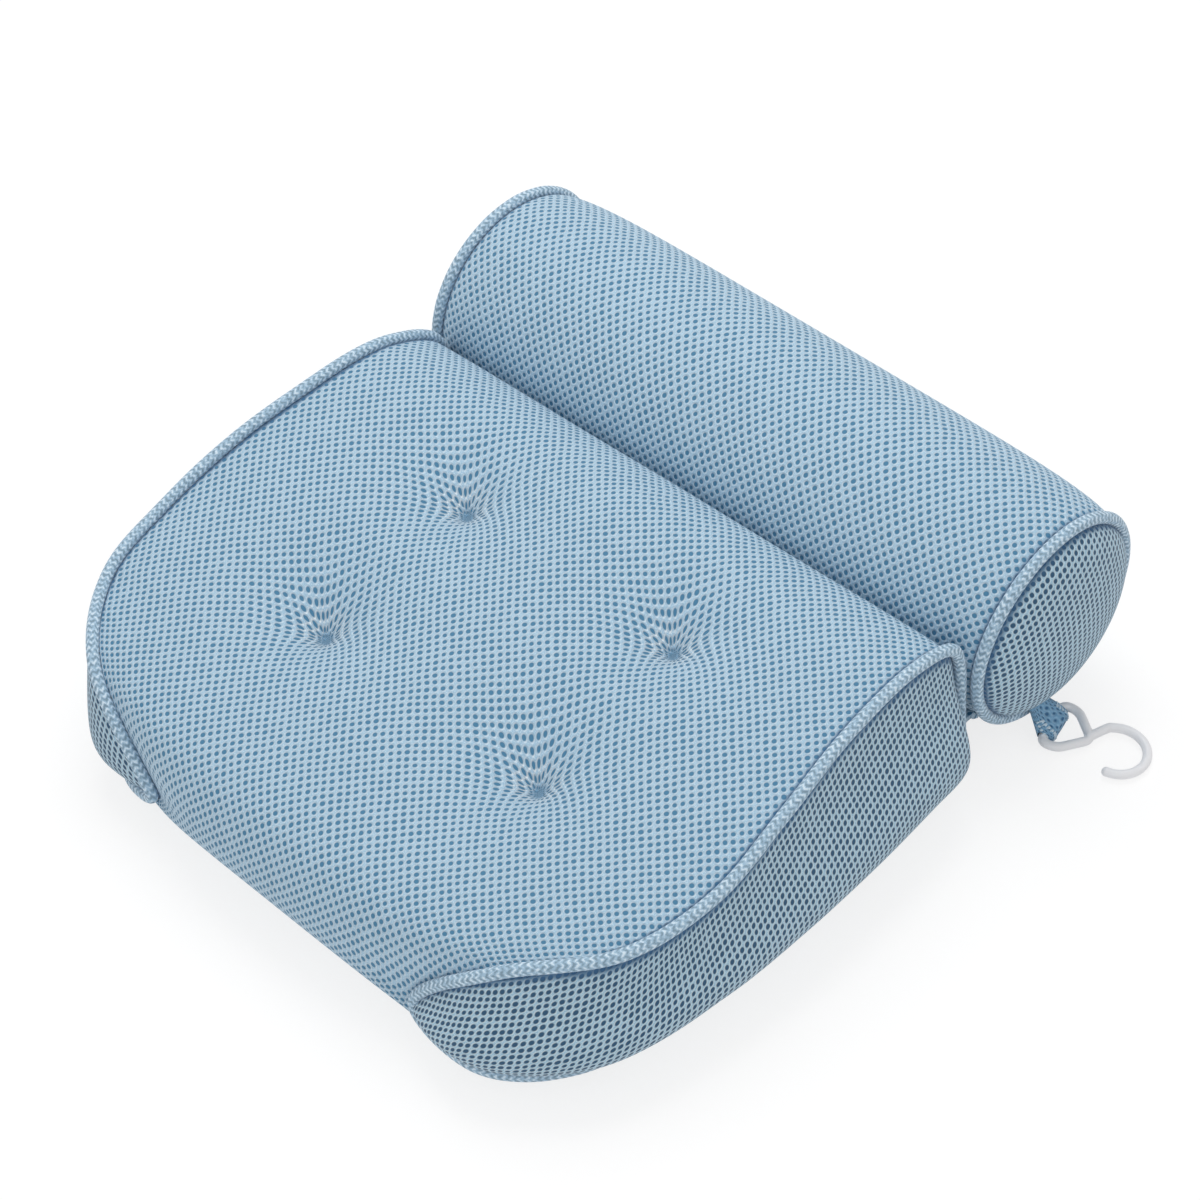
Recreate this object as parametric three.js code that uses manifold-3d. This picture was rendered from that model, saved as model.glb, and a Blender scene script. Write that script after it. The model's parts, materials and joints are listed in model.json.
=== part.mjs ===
// Bath pillow: a tufted air-mesh neck cushion and a round bolster, joined by a fabric hinge.
// Both stand on suction cups, and a plastic drying hook hangs from a tab at the bolster's end.
// Millimetres, +Z up. X runs along the bolster, and the neck cushion lies towards -Y.
import * as THREE from "three";
import { mergeVertices } from "three/addons/utils/BufferGeometryUtils.js";
import Module from "manifold-3d";

const wasm = await Module();
wasm.setup();

// Clearances that the whole pillow shares
const gap = 0.3;
const filling_gap = 0.6;
const mitre = 0.4;
const overrun = 2;
const merge_distance = 0.001;

// Fabric, thread and piping
const cover_thickness = 3;
const piping_radius = 2.75;
const piping_sides = 6;
const groove_sides = 8;
const groove_clearance = 0.15;
const seam_steps = 64;
const ring_steps = 36;
const thread_radius = 0.9;
const knot_radius = 1.8;
const knot_height = 1.2;
const thread_sides = 6;

// Neck cushion, measured along its seams
const seam_half_width = 173.5;
const cushion_depth = 272;
const cushion_height = 96;
const underside = 8;
const valley_gap = 3.4;
const front_corner_radius = 86;
const tuft_depth = 25;
const tuft_spread = 24;
const tuft_rounding_share = 0.15;
const tuft_row_shares = [0.303, 0.636];
const tuft_column_share = 0.395;

// How the neck cushion has settled: its end panels' fullness, the lean of its lower part to the right,
// and how far the far left corner of its top has sunk
const end_bulges = { left: 4, right: 23 };
const bulge_root_powers = [0.4, 1];
const bulge_skew = 1.8;
const cushion_shift = 1.5;
const leans = { left: 28, right: 15 };
const lean_power = 3;
const lean_reach_share = 1.03;
const lean_fade_power = 12;
const slump = 18;
const slump_reach_share = 0.3;

// The seam of an end panel, from the middle of the back edge over the top to the front tip and
// back along the bottom, as shares of the half width, the depth and the height
const seam_shares = [
  [0.942, 0.006, 0.44],
  [0.942, 0.02, 0.81],
  [0.945, 0.125, 0.925],
  [0.96, tuft_row_shares[0], 0.905],
  [0.99, 0.471, 0.823],
  [1, tuft_row_shares[1], 0.7],
  [0.94, 0.805, 0.645],
  [0.738, 0.949, 0.585],
  [0.5, 1, 0.146],
  [0.72, 1.005, 0.04],
  [0.87, 0.9, 0.04],
  [0.925, 0.676, 0.04],
  [0.95, 0.493, 0.04],
  [0.955, 0.327, 0.04],
  [0.95, 0.162, 0.04],
  [0.945, 0.029, 0.06],
];

// The cushion's profile in its middle, station by station beside the seam: depth and height
const profile_shares = [
  [0.0165, 0.44],
  [0.026, 0.82],
  [0.13, 0.96],
  [tuft_row_shares[0], 0.92],
  [0.471, 0.85],
  [tuft_row_shares[1], 0.78],
  [0.816, 0.705],
  [0.97, 0.565],
  [1.018, 0.2],
  [0.972, 0.012],
  [0.886, 0],
  [0.676, 0],
  [0.493, 0],
  [0.327, 0],
  [0.162, 0],
  [0.037, 0.05],
];
const column_shares = [0, 0.24, tuft_column_share, 0.56, 0.76, 0.93, 1];
const top_crown_power = 4;
const bottom_crown_power = 8;
const crown_root_power = 0.5;
const front_root_power = 1.6;
const rows_per_station = 2;
const end_rows = 6;

// Bolster
const bolster_overhang = 1;
const bolster_length = 2 * (seam_half_width + bolster_overhang);
const bolster_ring_radius = 55;
const bolster_fullness = 2.4;
const bolster_flat = 3.4;
const bolster_spread = 1.033;
const bolster_shift = 1.7;
const bolster_crown_power = 6;
const cap_bulge = 17;
const cap_roundness = 0.48;
const bolster_sides = 24;
const bolster_column_shares = [0, 0.25, 0.5, 0.72, 0.88, 0.96, 1];
const cap_ring_shares = [0, 0.12, 0.3, 0.6, 1];

// Fabric hinge between the two, from the cushion's back face round the valley to the bolster
const strip_length = 284;
const strip_shift = 16;
const strip_thickness = 3;
const strip_rise = 21;
const strip_fold_share = 0.35;
const strip_wrap_degrees = [37, 29];
const strip_steps = 12;

// Suction cups, with a mushroom head inside the cover and a washer under the head
const cup_radius = 22;
const cup_rim_width = 1.4;
const cup_rim_height = 1.4;
const cup_hollow_depth = 5.6;
const cup_hollow_shares = [
  [0.4, 0.9],
  [0.75, 0.55],
];
const cup_dome_shares = [0.4, 0.65];
const cup_shoulder_radius = 9;
const neck_radius = 5.5;
const head_radius = 8.5;
const head_height = 3.8;
const head_edge_share = 0.5;
const head_crown_share = 0.7;
const washer_radius = 11;
const washer_thickness = 1.2;
const cup_tongue_width = 8;
const cup_tongue_reach = 5;
const tongue_segments = 6;
const cup_sides = 16;
const hole_sides = 12;
const cushion_cup_shares = [
  [0.63, 0.228],
  [0.57, 0.779],
];
const bolster_cup_share = 0.55;

// Hook of round rod: an eye for the tab, a short shank and an open crook
const rod_radius = 2.3;
const nose_radius = 2.35;
const rod_sides = 8;
const eye_steps = 32;
const crook_points = 14;
const crook_steps = 22;
const eye_half_width = 13;
const eye_side = 8;
const eye_length = 20;
const eye_corner_radius = 3.5;
const crook_radius = 14;
const crook_reach = 33;
const crook_start_degrees = 138;
const crook_end_degrees = -93;
const hook_yaw_degrees = 13.9;
const bar_y = -5.1;
const bar_height = 5.3;

// Tab of folded fabric that carries the hook
const tab_thickness = 1.8;
const tab_root_thickness = 0.8;
const tab_flare = 6;
const tab_half_width = 9.1;
const tab_reach = 11.35;
const tab_setback = 8;
const tab_root_inset = 5.45;
const tab_root_standoff = 4.4;
const tab_slices = 3;
const tab_bend_segments = 5;

const Z = new THREE.Vector3(0, 0, 1);
const lerp = THREE.MathUtils.lerp;
const radians = THREE.MathUtils.degToRad;

// Triangles of a list of faces, without those whose corners coincide
function bodyOf(faces) {
  const positions = [];
  for (const face of faces) {
    for (let k = 2; k < face.length; k++) {
      const corners = [face[0], face[k - 1], face[k]];
      const sides = corners.map((corner, n) => corner.distanceTo(corners[(n + 1) % 3]));
      if (Math.min(...sides) >= merge_distance) corners.forEach((corner) => positions.push(...corner));
    }
  }
  const geometry = new THREE.BufferGeometry();
  geometry.setAttribute("position", new THREE.Float32BufferAttribute(positions, 3));
  return geometry;
}

function solidOf(geometry) {
  const plain = geometry.index ? geometry.toNonIndexed() : geometry.clone();
  for (const name of ["normal", "uv"]) plain.deleteAttribute(name);
  const merged = mergeVertices(plain, merge_distance);
  const corners = merged.index.array;
  const kept = [];
  for (let i = 0; i < corners.length; i += 3) {
    const [a, b, c] = corners.slice(i, i + 3);
    if (a !== b && b !== c && c !== a) kept.push(a, b, c);
  }
  return new wasm.Manifold(
    new wasm.Mesh({
      numProp: 3,
      vertProperties: merged.attributes.position.array,
      triVerts: new Uint32Array(kept),
    }),
  );
}

function geometryOf(solid) {
  const mesh = solid.getMesh();
  const geometry = new THREE.BufferGeometry();
  geometry.setAttribute("position", new THREE.BufferAttribute(mesh.vertProperties, 3));
  geometry.setIndex(new THREE.BufferAttribute(mesh.triVerts, 1));
  return geometry;
}

function cut(geometry, tools) {
  return geometryOf(tools.reduce((solid, tool) => solid.subtract(solidOf(tool)), solidOf(geometry)));
}

function join(...geometries) {
  return geometryOf(geometries.map(solidOf).reduce((whole, piece) => whole.add(piece)));
}

function gridOf(rows, columns, point) {
  return rows.map((row) => columns.map((column) => point(row, column)));
}

function gridFaces(grid) {
  const faces = [];
  for (let i = 1; i < grid.length; i++) {
    for (let j = 1; j < grid[i].length; j++) {
      faces.push([grid[i - 1][j - 1], grid[i][j - 1], grid[i][j], grid[i - 1][j]]);
    }
  }
  return faces;
}

// Faces turned over, each still split along the same diagonal, so that nested skins stay clear
const flipped = (faces) => faces.map(([first, ...others]) => [first, ...others.reverse()]);
const opposite = ({ x, y, z }) => new THREE.Vector3(-x, y, z);
const mirrored = (faces) => flipped(faces).map((face) => face.map(opposite));

// A skin between two grids, closed along its first column, and along its last unless it is half a skin
function skinFaces(outer, inner, is_half) {
  const last = outer[0].length - 1;
  const faces = [...gridFaces(outer), ...flipped(gridFaces(inner))];
  for (let i = 1; i < outer.length; i++) {
    faces.push([outer[i][0], outer[i - 1][0], inner[i - 1][0], inner[i][0]]);
    if (!is_half) faces.push([outer[i - 1][last], outer[i][last], inner[i][last], inner[i - 1][last]]);
  }
  return faces;
}

const bothHalves = (faces) => bodyOf([...faces, ...mirrored(faces)]);

function turned(profile, sides) {
  const points = profile.map(([radius, height]) => new THREE.Vector2(radius, height));
  return new THREE.LatheGeometry(points, sides).rotateX(Math.PI / 2);
}

function post(radius, from, to, sides) {
  return new THREE.CylinderGeometry(radius, radius, to - from, sides)
    .rotateX(Math.PI / 2)
    .translate(0, 0, (from + to) / 2);
}

// Where things are on the neck cushion
const bolster_crown_radius = bolster_ring_radius + bolster_fullness;
const cushion_setback = bolster_crown_radius + valley_gap - profile_shares[0][0] * cushion_depth;
const depthAt = (share) => -cushion_setback - share * cushion_depth;
const heightAt = (share) => underside + share * cushion_height;
const stations = seam_shares.length;
const row_count = stations * rows_per_station;
const rows = Array.from({ length: row_count + 1 }, (_, i) => i / row_count);
const tip = rows.length >> 1;
const columns = column_shares.map((share) => -share).reverse();

// A point of the new cushion, moved to where it is on the settled one
function settledPoint({ x, y, z }) {
  const depth = -(y + cushion_setback) / cushion_depth;
  const height = (z - underside) / cushion_height;
  const behind = THREE.MathUtils.clamp(1 - depth / slump_reach_share, 0, 1);
  const towards_left = (1 - x / seam_half_width) / 2;
  const lean = lerp(leans.right, leans.left, towards_left) * Math.abs(1 - height) ** lean_power;
  const fade = Math.min(Math.abs(depth / lean_reach_share), 1) ** lean_fade_power;
  return new THREE.Vector3(
    x + cushion_shift + lean * (1 - fade),
    y,
    z - slump * towards_left * height * behind ** 2,
  );
}

function settled(geometry) {
  const position = geometry.attributes.position;
  for (let i = 0; i < position.count; i++) {
    position.setXYZ(i, ...settledPoint(new THREE.Vector3().fromBufferAttribute(position, i)));
  }
  return geometry;
}

const seam = new THREE.CatmullRomCurve3(
  seam_shares.map(([x, y, z]) => new THREE.Vector3(x * seam_half_width, depthAt(y), heightAt(z))),
  true,
);
const profile = new THREE.CatmullRomCurve3(
  profile_shares.map(([y, z]) => new THREE.Vector3(0, depthAt(y), heightAt(z))),
  true,
);

// Outward normal of the wrap, square to the cushion's profile
function wrapNormal(row) {
  const along = profile.getTangent(row % 1);
  return new THREE.Vector3(0, along.z, -along.y).normalize();
}

// Outward normal of the end panel, square to the cushion's plan with its rounded front corners
function endNormal(point) {
  const corner_x = seam_half_width - front_corner_radius;
  const corner_y = depthAt(1) + front_corner_radius;
  const out = new THREE.Vector3(Math.max(point.x - corner_x, 0), Math.min(point.y - corner_y, 0), 0);
  return out.lengthSq() > 0 ? out.normalize() : new THREE.Vector3(0, -1, 0);
}

// The ridge under the piping where wrap and end panel meet, at a depth of inset below the surface
function ridge(row, inset) {
  const point = seam.getPoint(row % 1);
  const wrap_normal = wrapNormal(row);
  const out = wrap_normal.clone().add(endNormal(point)).normalize();
  return point.addScaledVector(out, -piping_radius - gap - inset / out.dot(wrap_normal));
}

// Each tuft is on a row and a column of the wrap, so that its dimple comes to a point
const tufts = tuft_row_shares.flatMap((share) => {
  const row = seam_shares.findIndex(([, depth_share]) => depth_share === share) / stations;
  return [-tuft_column_share, tuft_column_share].map((column) => ({
    row,
    column,
    x: column * ridge(row, 0).x,
    y: depthAt(share),
  }));
});

function tuftDip(x, y) {
  const soften = tuft_spread * tuft_rounding_share;
  const dips = tufts.map((tuft) => {
    const distance = Math.hypot(x - tuft.x, y - tuft.y, soften);
    return tuft_depth * Math.exp((soften - distance) / tuft_spread);
  });
  return Math.max(...dips);
}

// How full the wrap is at a column: 1 in the middle and 0 at the seams. It leaves the seams steeply on
// top, for a shorter way on the underside, and gently on the front face, clear of the piping there.
function fullness(row, column) {
  const { y, z } = wrapNormal(row);
  const power = lerp(top_crown_power, bottom_crown_power, Math.max(-z, 0));
  const steepness = lerp(crown_root_power, front_root_power, Math.max(-y, 0));
  return (1 - Math.abs(column) ** power) ** steepness;
}

// A point of the wrap without its tufts
function plainWrapPoint(row, column, inset, back_off) {
  const edge = ridge(row, inset);
  const middle = profile.getPoint(row % 1).addScaledVector(wrapNormal(row), -inset);
  const point = edge.clone().lerp(middle, fullness(row, column));
  point.x = (edge.x - back_off) * column;
  return point;
}

// The same point with the tufts, which draw every layer down by as much as the surface above it
function wrapPoint(row, column, inset, back_off) {
  const surface = plainWrapPoint(row, column, 0, 0);
  const on_top = Math.max(wrapNormal(row).z, 0);
  const drawn_in = tuftDip(surface.x, surface.y) * on_top * fullness(row, column);
  return plainWrapPoint(row, column, inset, back_off).addScaledVector(Z, -drawn_in);
}

// A point of the right end panel: across runs from the top seam to the bottom seam
function endPoint(index, across, inset, back_off, bulge) {
  const edges = [index, rows.length - 1 - index].map((i) => ridge(rows[i], inset));
  const inner = THREE.MathUtils.clamp(index, 1, tip - 1);
  const spine = [inner, rows.length - 1 - inner].map((i) => ridge(rows[i], inset));
  const heart = spine[0].clone().lerp(spine[1], 0.5);
  for (const edge of edges) {
    edge.addScaledVector(heart.clone().sub(edge).normalize(), back_off);
  }
  const point = edges[0].clone().lerp(edges[1], across);
  const along = Math.max(index - rows_per_station, 0) / (tip - rows_per_station);
  const lengthways = Math.max(Math.sin(Math.PI * along), 0) ** lerp(...bulge_root_powers, along);
  const swell = lengthways * Math.sin(Math.PI * across ** bulge_skew);
  return point.addScaledVector(endNormal(point), bulge * Math.max(swell, 0));
}

const end_columns = Array.from({ length: tip + 1 }, (_, i) => i);
const end_across = Array.from({ length: end_rows + 1 }, (_, i) => i / end_rows);
const wrapGrid = (inset, back_off) =>
  gridOf(rows, columns, (row, column) => wrapPoint(row, column, inset, back_off));
const endGrid = (inset, back_off, bulge) =>
  gridOf(end_columns, end_across, (index, across) => endPoint(index, across, inset, back_off, bulge));

// Bolster shape
const ring_radius = bolster_ring_radius - piping_radius;
const ring_x = bolster_length / 2 - piping_radius;
const axis_height = underside + bolster_crown_radius - bolster_flat;
const turn = 2 * Math.PI;
const angles = Array.from(
  { length: bolster_sides + 1 },
  (_, i) => (turn * (i % bolster_sides)) / bolster_sides,
);
const bolster_columns = bolster_column_shares.map((share) => -share).reverse();

// The bolster is round but for a little spread across, and lies a little behind its cups
const acrossAt = (y) => bolster_spread * y + bolster_shift;

function bolsterRidge(inset) {
  const inward = (piping_radius + gap) * Math.SQRT1_2 + inset;
  return { x: ring_x - inward, radius: ring_radius - inward };
}

function bolsterPoint(angle, column, inset, back_off) {
  const edge = bolsterRidge(inset);
  const roll = 1 - Math.sqrt(1 - Math.abs(column) ** bolster_crown_power);
  const radius = lerp(bolster_crown_radius - inset, edge.radius, roll);
  const z = Math.max(axis_height + radius * Math.sin(angle), underside + inset);
  return new THREE.Vector3((edge.x - back_off) * column, acrossAt(radius * Math.cos(angle)), z);
}

function capPoint(angle, inward, inset, back_off) {
  const edge = bolsterRidge(inset);
  const radius = (edge.radius - back_off) * (1 - inward);
  const x = edge.x + cap_bulge * (1 - (1 - inward) ** 2) ** cap_roundness;
  const z = axis_height + radius * Math.sin(angle);
  return new THREE.Vector3(x, acrossAt(radius * Math.cos(angle)), z);
}

const bolsterGrid = (inset, back_off) =>
  gridOf(angles, bolster_columns, (angle, column) => bolsterPoint(angle, column, inset, back_off));
const capGrid = (inset, back_off) =>
  gridOf(angles, cap_ring_shares, (angle, inward) => capPoint(angle, inward, inset, back_off));

// Suction cup heights, from the floor up
const shoulder = underside - gap;
const washer_bottom = underside + cover_thickness + gap;
const head_bottom = washer_bottom + washer_thickness + gap;
const head_top = head_bottom + head_height;

const cushion_cups = cushion_cup_shares.flatMap(([x, y]) =>
  [-1, 1].map((side) => {
    const place = settledPoint(new THREE.Vector3(side * x * seam_half_width, depthAt(y), underside));
    return [place.x, place.y];
  }),
);
const bolster_cups = [-1, 1].map((side) => [side * bolster_cup_share * ring_x, 0]);

function suctionCup() {
  const hollow_radius = cup_radius - cup_rim_width;
  const body = turned(
    [
      [0, cup_hollow_depth],
      ...cup_hollow_shares.map(([across, up]) => [hollow_radius * across, cup_hollow_depth * up]),
      [hollow_radius, 0],
      [cup_radius, 0],
      [cup_radius, cup_rim_height],
      [
        lerp(cup_radius, cup_shoulder_radius, cup_dome_shares[0]),
        lerp(cup_rim_height, shoulder, cup_dome_shares[1]),
      ],
      [cup_shoulder_radius, shoulder],
      [neck_radius, shoulder],
      [neck_radius, head_bottom],
      [head_radius, head_bottom],
      [head_radius, lerp(head_bottom, head_top, head_edge_share)],
      [head_radius * head_crown_share, head_top],
      [0, head_top],
    ],
    cup_sides,
  );
  const half = cup_tongue_width / 2;
  const outline = new THREE.Shape()
    .moveTo(half, -hollow_radius)
    .lineTo(half, -cup_radius - cup_tongue_reach + half)
    .absarc(0, -cup_radius - cup_tongue_reach + half, half, 0, -Math.PI, true)
    .lineTo(-half, -hollow_radius);
  const tongue = new THREE.ExtrudeGeometry(outline, {
    depth: cup_rim_height / 2,
    bevelEnabled: false,
    curveSegments: tongue_segments,
  }).translate(0, 0, cup_rim_height / 4);
  return join(body, tongue);
}

function washer() {
  const bore = neck_radius + gap * 2;
  return turned(
    [
      [bore, washer_bottom],
      [washer_radius, washer_bottom],
      [washer_radius, washer_bottom + washer_thickness],
      [bore, washer_bottom + washer_thickness],
      [bore, washer_bottom],
    ],
    cup_sides,
  );
}

const neckHole = () => post(neck_radius + gap * 2, underside - overrun, washer_bottom, hole_sides);
const headPocket = () => post(washer_radius + gap * 2, underside, head_top + gap, hole_sides);
const threadHole = () => post(thread_radius + gap, 0, heightAt(1), thread_sides);
const placed = (places, make) => places.map(([x, y]) => make().translate(x, y, 0));
const dimples = tufts.map(({ row, column }) => settledPoint(wrapPoint(row, column, 0, 0)));

// Tuft thread from a knot in the dimple, through the filling, to a knot under the cover
function tuftTie({ x, y, z }) {
  const top_knot = z + gap + (knot_radius * tuft_depth) / tuft_spread;
  return turned(
    [
      [0, underside - gap - knot_height],
      [knot_radius, underside - gap - knot_height],
      [knot_radius, underside - gap],
      [thread_radius, underside - gap],
      [thread_radius, top_knot],
      [knot_radius, top_knot],
      [knot_radius, top_knot + knot_height],
      [0, top_knot + knot_height],
    ],
    thread_sides,
  ).translate(x, y, 0);
}

const ring = new THREE.CatmullRomCurve3(
  angles.slice(1).map((angle) => {
    const [y, z] = [ring_radius * Math.cos(angle), ring_radius * Math.sin(angle)];
    return new THREE.Vector3(ring_x, acrossAt(y), axis_height + z);
  }),
  true,
);
const rings = { left: new THREE.CatmullRomCurve3(ring.points.map(opposite), true), right: ring };
const piping = (path, steps) => new THREE.TubeGeometry(path, steps, piping_radius, piping_sides, true);

// Grooves that the cushion's two rings of piping press into the cover and the end panels
const seams = { left: new THREE.CatmullRomCurve3(seam.points.map(opposite), true), right: seam };

function groove(path) {
  const radius = (piping_radius + groove_clearance) / Math.cos(Math.PI / groove_sides);
  return settled(new THREE.TubeGeometry(path, seam_steps, radius, groove_sides, true));
}

// Fabric hinge: down the cushion's back face, across the valley and round under the bolster
function hingeStrip() {
  const half = strip_thickness / 2;
  const reach = bolster_crown_radius + gap + half;
  const back_y = profile.getPoint(0).y + gap + half;
  const under = strip_wrap_degrees.map((degrees) => {
    const angle = radians(-90 - degrees);
    return new THREE.Vector3(0, acrossAt(reach * Math.cos(angle)), axis_height + reach * Math.sin(angle));
  });
  const path = new THREE.CatmullRomCurve3([
    new THREE.Vector3(0, back_y, underside + strip_rise),
    new THREE.Vector3(0, back_y, underside + strip_rise / 2),
    new THREE.Vector3(0, lerp(back_y, under[0].y, strip_fold_share), underside + strip_rise / 4),
    ...under,
  ]);
  const side = (distance) =>
    path.getSpacedPoints(strip_steps).map((point, i) => {
      const along = path.getTangentAt(i / strip_steps);
      return new THREE.Vector2(point.y + along.z * distance, point.z - along.y * distance);
    });
  const outline = new THREE.Shape([...side(half), ...side(-half).reverse()]);
  return new THREE.ExtrudeGeometry(outline, { depth: strip_length, bevelEnabled: false })
    .applyMatrix4(new THREE.Matrix4().makeBasis(new THREE.Vector3(0, 1, 0), Z, new THREE.Vector3(1, 0, 0)))
    .translate(strip_shift - strip_length / 2, 0, 0);
}

// Closed loop of straight sides with rounded corners
function roundedLoop(corners, radius) {
  const loop = new THREE.CurvePath();
  const ends = corners.map((corner, i) => {
    const before = corners.at(i - 1);
    const after = corners[(i + 1) % corners.length];
    return [before, after].map((other) => corner.clone().add(other.clone().sub(corner).setLength(radius)));
  });
  corners.forEach((corner, i) => {
    const [into, out] = ends[i];
    const next = ends[(i + 1) % corners.length][0];
    loop.add(new THREE.QuadraticBezierCurve3(into, corner, out));
    loop.add(new THREE.LineCurve3(out, next));
  });
  return loop;
}

// Hook in its own frame: the bar lies along Y, and the hook reaches towards +X
function hook() {
  const eye = roundedLoop(
    [
      new THREE.Vector3(0, -eye_half_width, 0),
      new THREE.Vector3(eye_side, -eye_half_width, 0),
      new THREE.Vector3(eye_length, 0, 0),
      new THREE.Vector3(eye_side, eye_half_width, 0),
      new THREE.Vector3(0, eye_half_width, 0),
    ],
    eye_corner_radius,
  );
  const crook = Array.from({ length: crook_points + 1 }, (_, i) => {
    const angle = radians(lerp(crook_start_degrees, crook_end_degrees, i / crook_points));
    const [x, y] = [crook_radius * Math.cos(angle), crook_radius * Math.sin(angle)];
    return new THREE.Vector3(crook_reach + x, y, 0);
  });
  const shank = new THREE.CatmullRomCurve3([new THREE.Vector3(eye_length - rod_radius, 0, 0), ...crook]);
  const section = new THREE.Shape().absarc(0, 0, rod_radius, 0, turn, false);
  const rod = new THREE.ExtrudeGeometry(section, {
    steps: crook_steps,
    curveSegments: rod_sides / 2,
    bevelEnabled: false,
    extrudePath: shank,
  });
  const nose = new THREE.SphereGeometry(nose_radius, rod_sides, rod_sides - 2).translate(...crook.at(-1));
  const loop = new THREE.TubeGeometry(eye, eye_steps, rod_radius, rod_sides, true);
  return join(loop, rod, nose);
}

// Tab: folded round the hook's bar at its far end, and following the bolster's ring at its root
function hookTab(bar_middle, bar_along) {
  const inner = rod_radius + gap * 2;
  const outer = inner + tab_thickness;
  const root_x = ring_x + tab_root_standoff;
  const root_y = -tab_setback;
  const root_radius = ring_radius - tab_root_inset;
  const root_height = (y) => axis_height - Math.sqrt(root_radius ** 2 - y ** 2);
  const length = Math.hypot(bar_middle.x - root_x, bar_middle.z - root_height(root_y));
  const turn_angle = Math.acos((tab_thickness - outer) / outer);
  const outline = new THREE.Shape()
    .moveTo(0, -tab_root_thickness)
    .lineTo(tab_flare, -tab_thickness)
    .lineTo(length - outer, -tab_thickness)
    .absarc(length, 0, outer, -turn_angle, turn_angle, false)
    .lineTo(length - outer, tab_thickness)
    .lineTo(tab_flare, tab_thickness)
    .lineTo(0, tab_root_thickness);
  outline.holes.push(new THREE.Path().absarc(length, 0, inner, 0, turn, true));
  const geometry = new THREE.ExtrudeGeometry(outline, {
    depth: 2 * tab_half_width,
    steps: tab_slices,
    curveSegments: tab_bend_segments,
    bevelEnabled: false,
  });
  const position = geometry.attributes.position;
  for (let i = 0; i < position.count; i++) {
    const [along, thick, wide] = [position.getX(i), position.getY(i), tab_half_width - position.getZ(i)];
    const root = new THREE.Vector3(root_x, root_y + wide, root_height(root_y + wide));
    const loop = bar_middle.clone().addScaledVector(bar_along, wide);
    const direction = loop.clone().sub(root).normalize();
    const up = bar_along.clone().cross(direction).negate().normalize();
    const point = root.lerp(loop, Math.min(along / length, 1));
    point.addScaledVector(direction, Math.max(along - length, 0)).addScaledVector(up, thick);
    position.setXYZ(i, ...point);
  }
  return geometry;
}

const finish = (color, roughness) => new THREE.MeshStandardMaterial({ color, roughness, metalness: 0 });
const materials = {
  air_mesh: finish("#8fb3d1", 0.85),
  piping: finish("#a3c2da", 0.8),
  binding: finish("#7fa6c8", 0.85),
  filling: finish("#f2f1ec", 0.95),
  thread: finish("#5d86ad", 0.8),
  clear_vinyl: finish("#dde6ec", 0.25),
  white_plastic: finish("#eeeef0", 0.4),
};

const pillow = new THREE.Group();

function piece(name, geometry, material) {
  const mesh = new THREE.Mesh(geometry, material.clone());
  mesh.name = name;
  pillow.add(mesh);
  return mesh;
}

const core_inset = cover_thickness + filling_gap;
const threads = placed(dimples, threadHole);
const to_side = { left: mirrored, right: (faces) => faces };
const side_names = Object.keys(to_side);

const wrap = bothHalves(skinFaces(wrapGrid(0, mitre), wrapGrid(cover_thickness, mitre), true));
const wrap_tools = [...Object.values(seams).map(groove), ...placed(cushion_cups, neckHole), ...threads];
piece("main_cover", cut(settled(wrap), wrap_tools), materials.air_mesh);

const filling_wrap = gridFaces(wrapGrid(core_inset, 0));
const filling_ends = side_names.flatMap((name) =>
  to_side[name](gridFaces(endGrid(core_inset, 0, end_bulges[name]))),
);
const filling = bodyOf([...filling_wrap, ...mirrored(filling_wrap), ...filling_ends]);
const filling_tools = [...placed(cushion_cups, headPocket), ...threads];
piece("main_core", cut(settled(filling), filling_tools), materials.filling);

const roll_cover = bothHalves(skinFaces(bolsterGrid(0, mitre), bolsterGrid(cover_thickness, mitre), true));
piece("bolster_cover", cut(roll_cover, placed(bolster_cups, neckHole)), materials.air_mesh);

const roll_ends = mirrored(gridFaces(capGrid(core_inset, 0)));
const roll = bothHalves([...gridFaces(bolsterGrid(core_inset, 0)), ...roll_ends]);
piece("bolster_core", cut(roll, placed(bolster_cups, headPocket)), materials.filling);

for (const name of side_names) {
  const [outer, inner] = [0, cover_thickness].map((inset) => endGrid(inset, mitre, end_bulges[name]));
  const panel = settled(bodyOf(to_side[name](skinFaces(outer, inner))));
  const cap = bodyOf(to_side[name](skinFaces(capGrid(0, mitre), capGrid(cover_thickness, mitre))));
  piece(`main_end_${name}`, cut(panel, [groove(seams[name])]), materials.air_mesh);
  piece(`main_piping_${name}`, settled(piping(seams[name], seam_steps)), materials.piping);
  piece(`bolster_end_${name}`, cap, materials.air_mesh);
  piece(`bolster_piping_${name}`, piping(rings[name], ring_steps), materials.piping);
}

dimples.forEach((dimple, i) => piece(`tuft_tie_${i + 1}`, tuftTie(dimple), materials.thread));
piece("hinge_strip", hingeStrip(), materials.binding);

[...cushion_cups, ...bolster_cups].forEach(([x, y], i) => {
  piece(`suction_cup_${i + 1}`, suctionCup(), materials.clear_vinyl).position.set(x, y, 0);
  piece(`cup_washer_${i + 1}`, washer(), materials.white_plastic).position.set(x, y, 0);
});

const yaw = radians(hook_yaw_degrees);
const pitch = Math.asin((bar_height - rod_radius - gap) / (crook_reach + crook_radius));
const bar_middle = new THREE.Vector3(ring_x + tab_reach, bar_y, bar_height);
const bar_along = new THREE.Vector3(-Math.sin(yaw), Math.cos(yaw), 0);
piece("hook_tab", hookTab(bar_middle, bar_along), materials.binding);
const hook_mesh = piece("hook", hook(), materials.white_plastic);
hook_mesh.position.copy(bar_middle);
hook_mesh.rotation.set(0, pitch, yaw, "ZYX");

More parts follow.
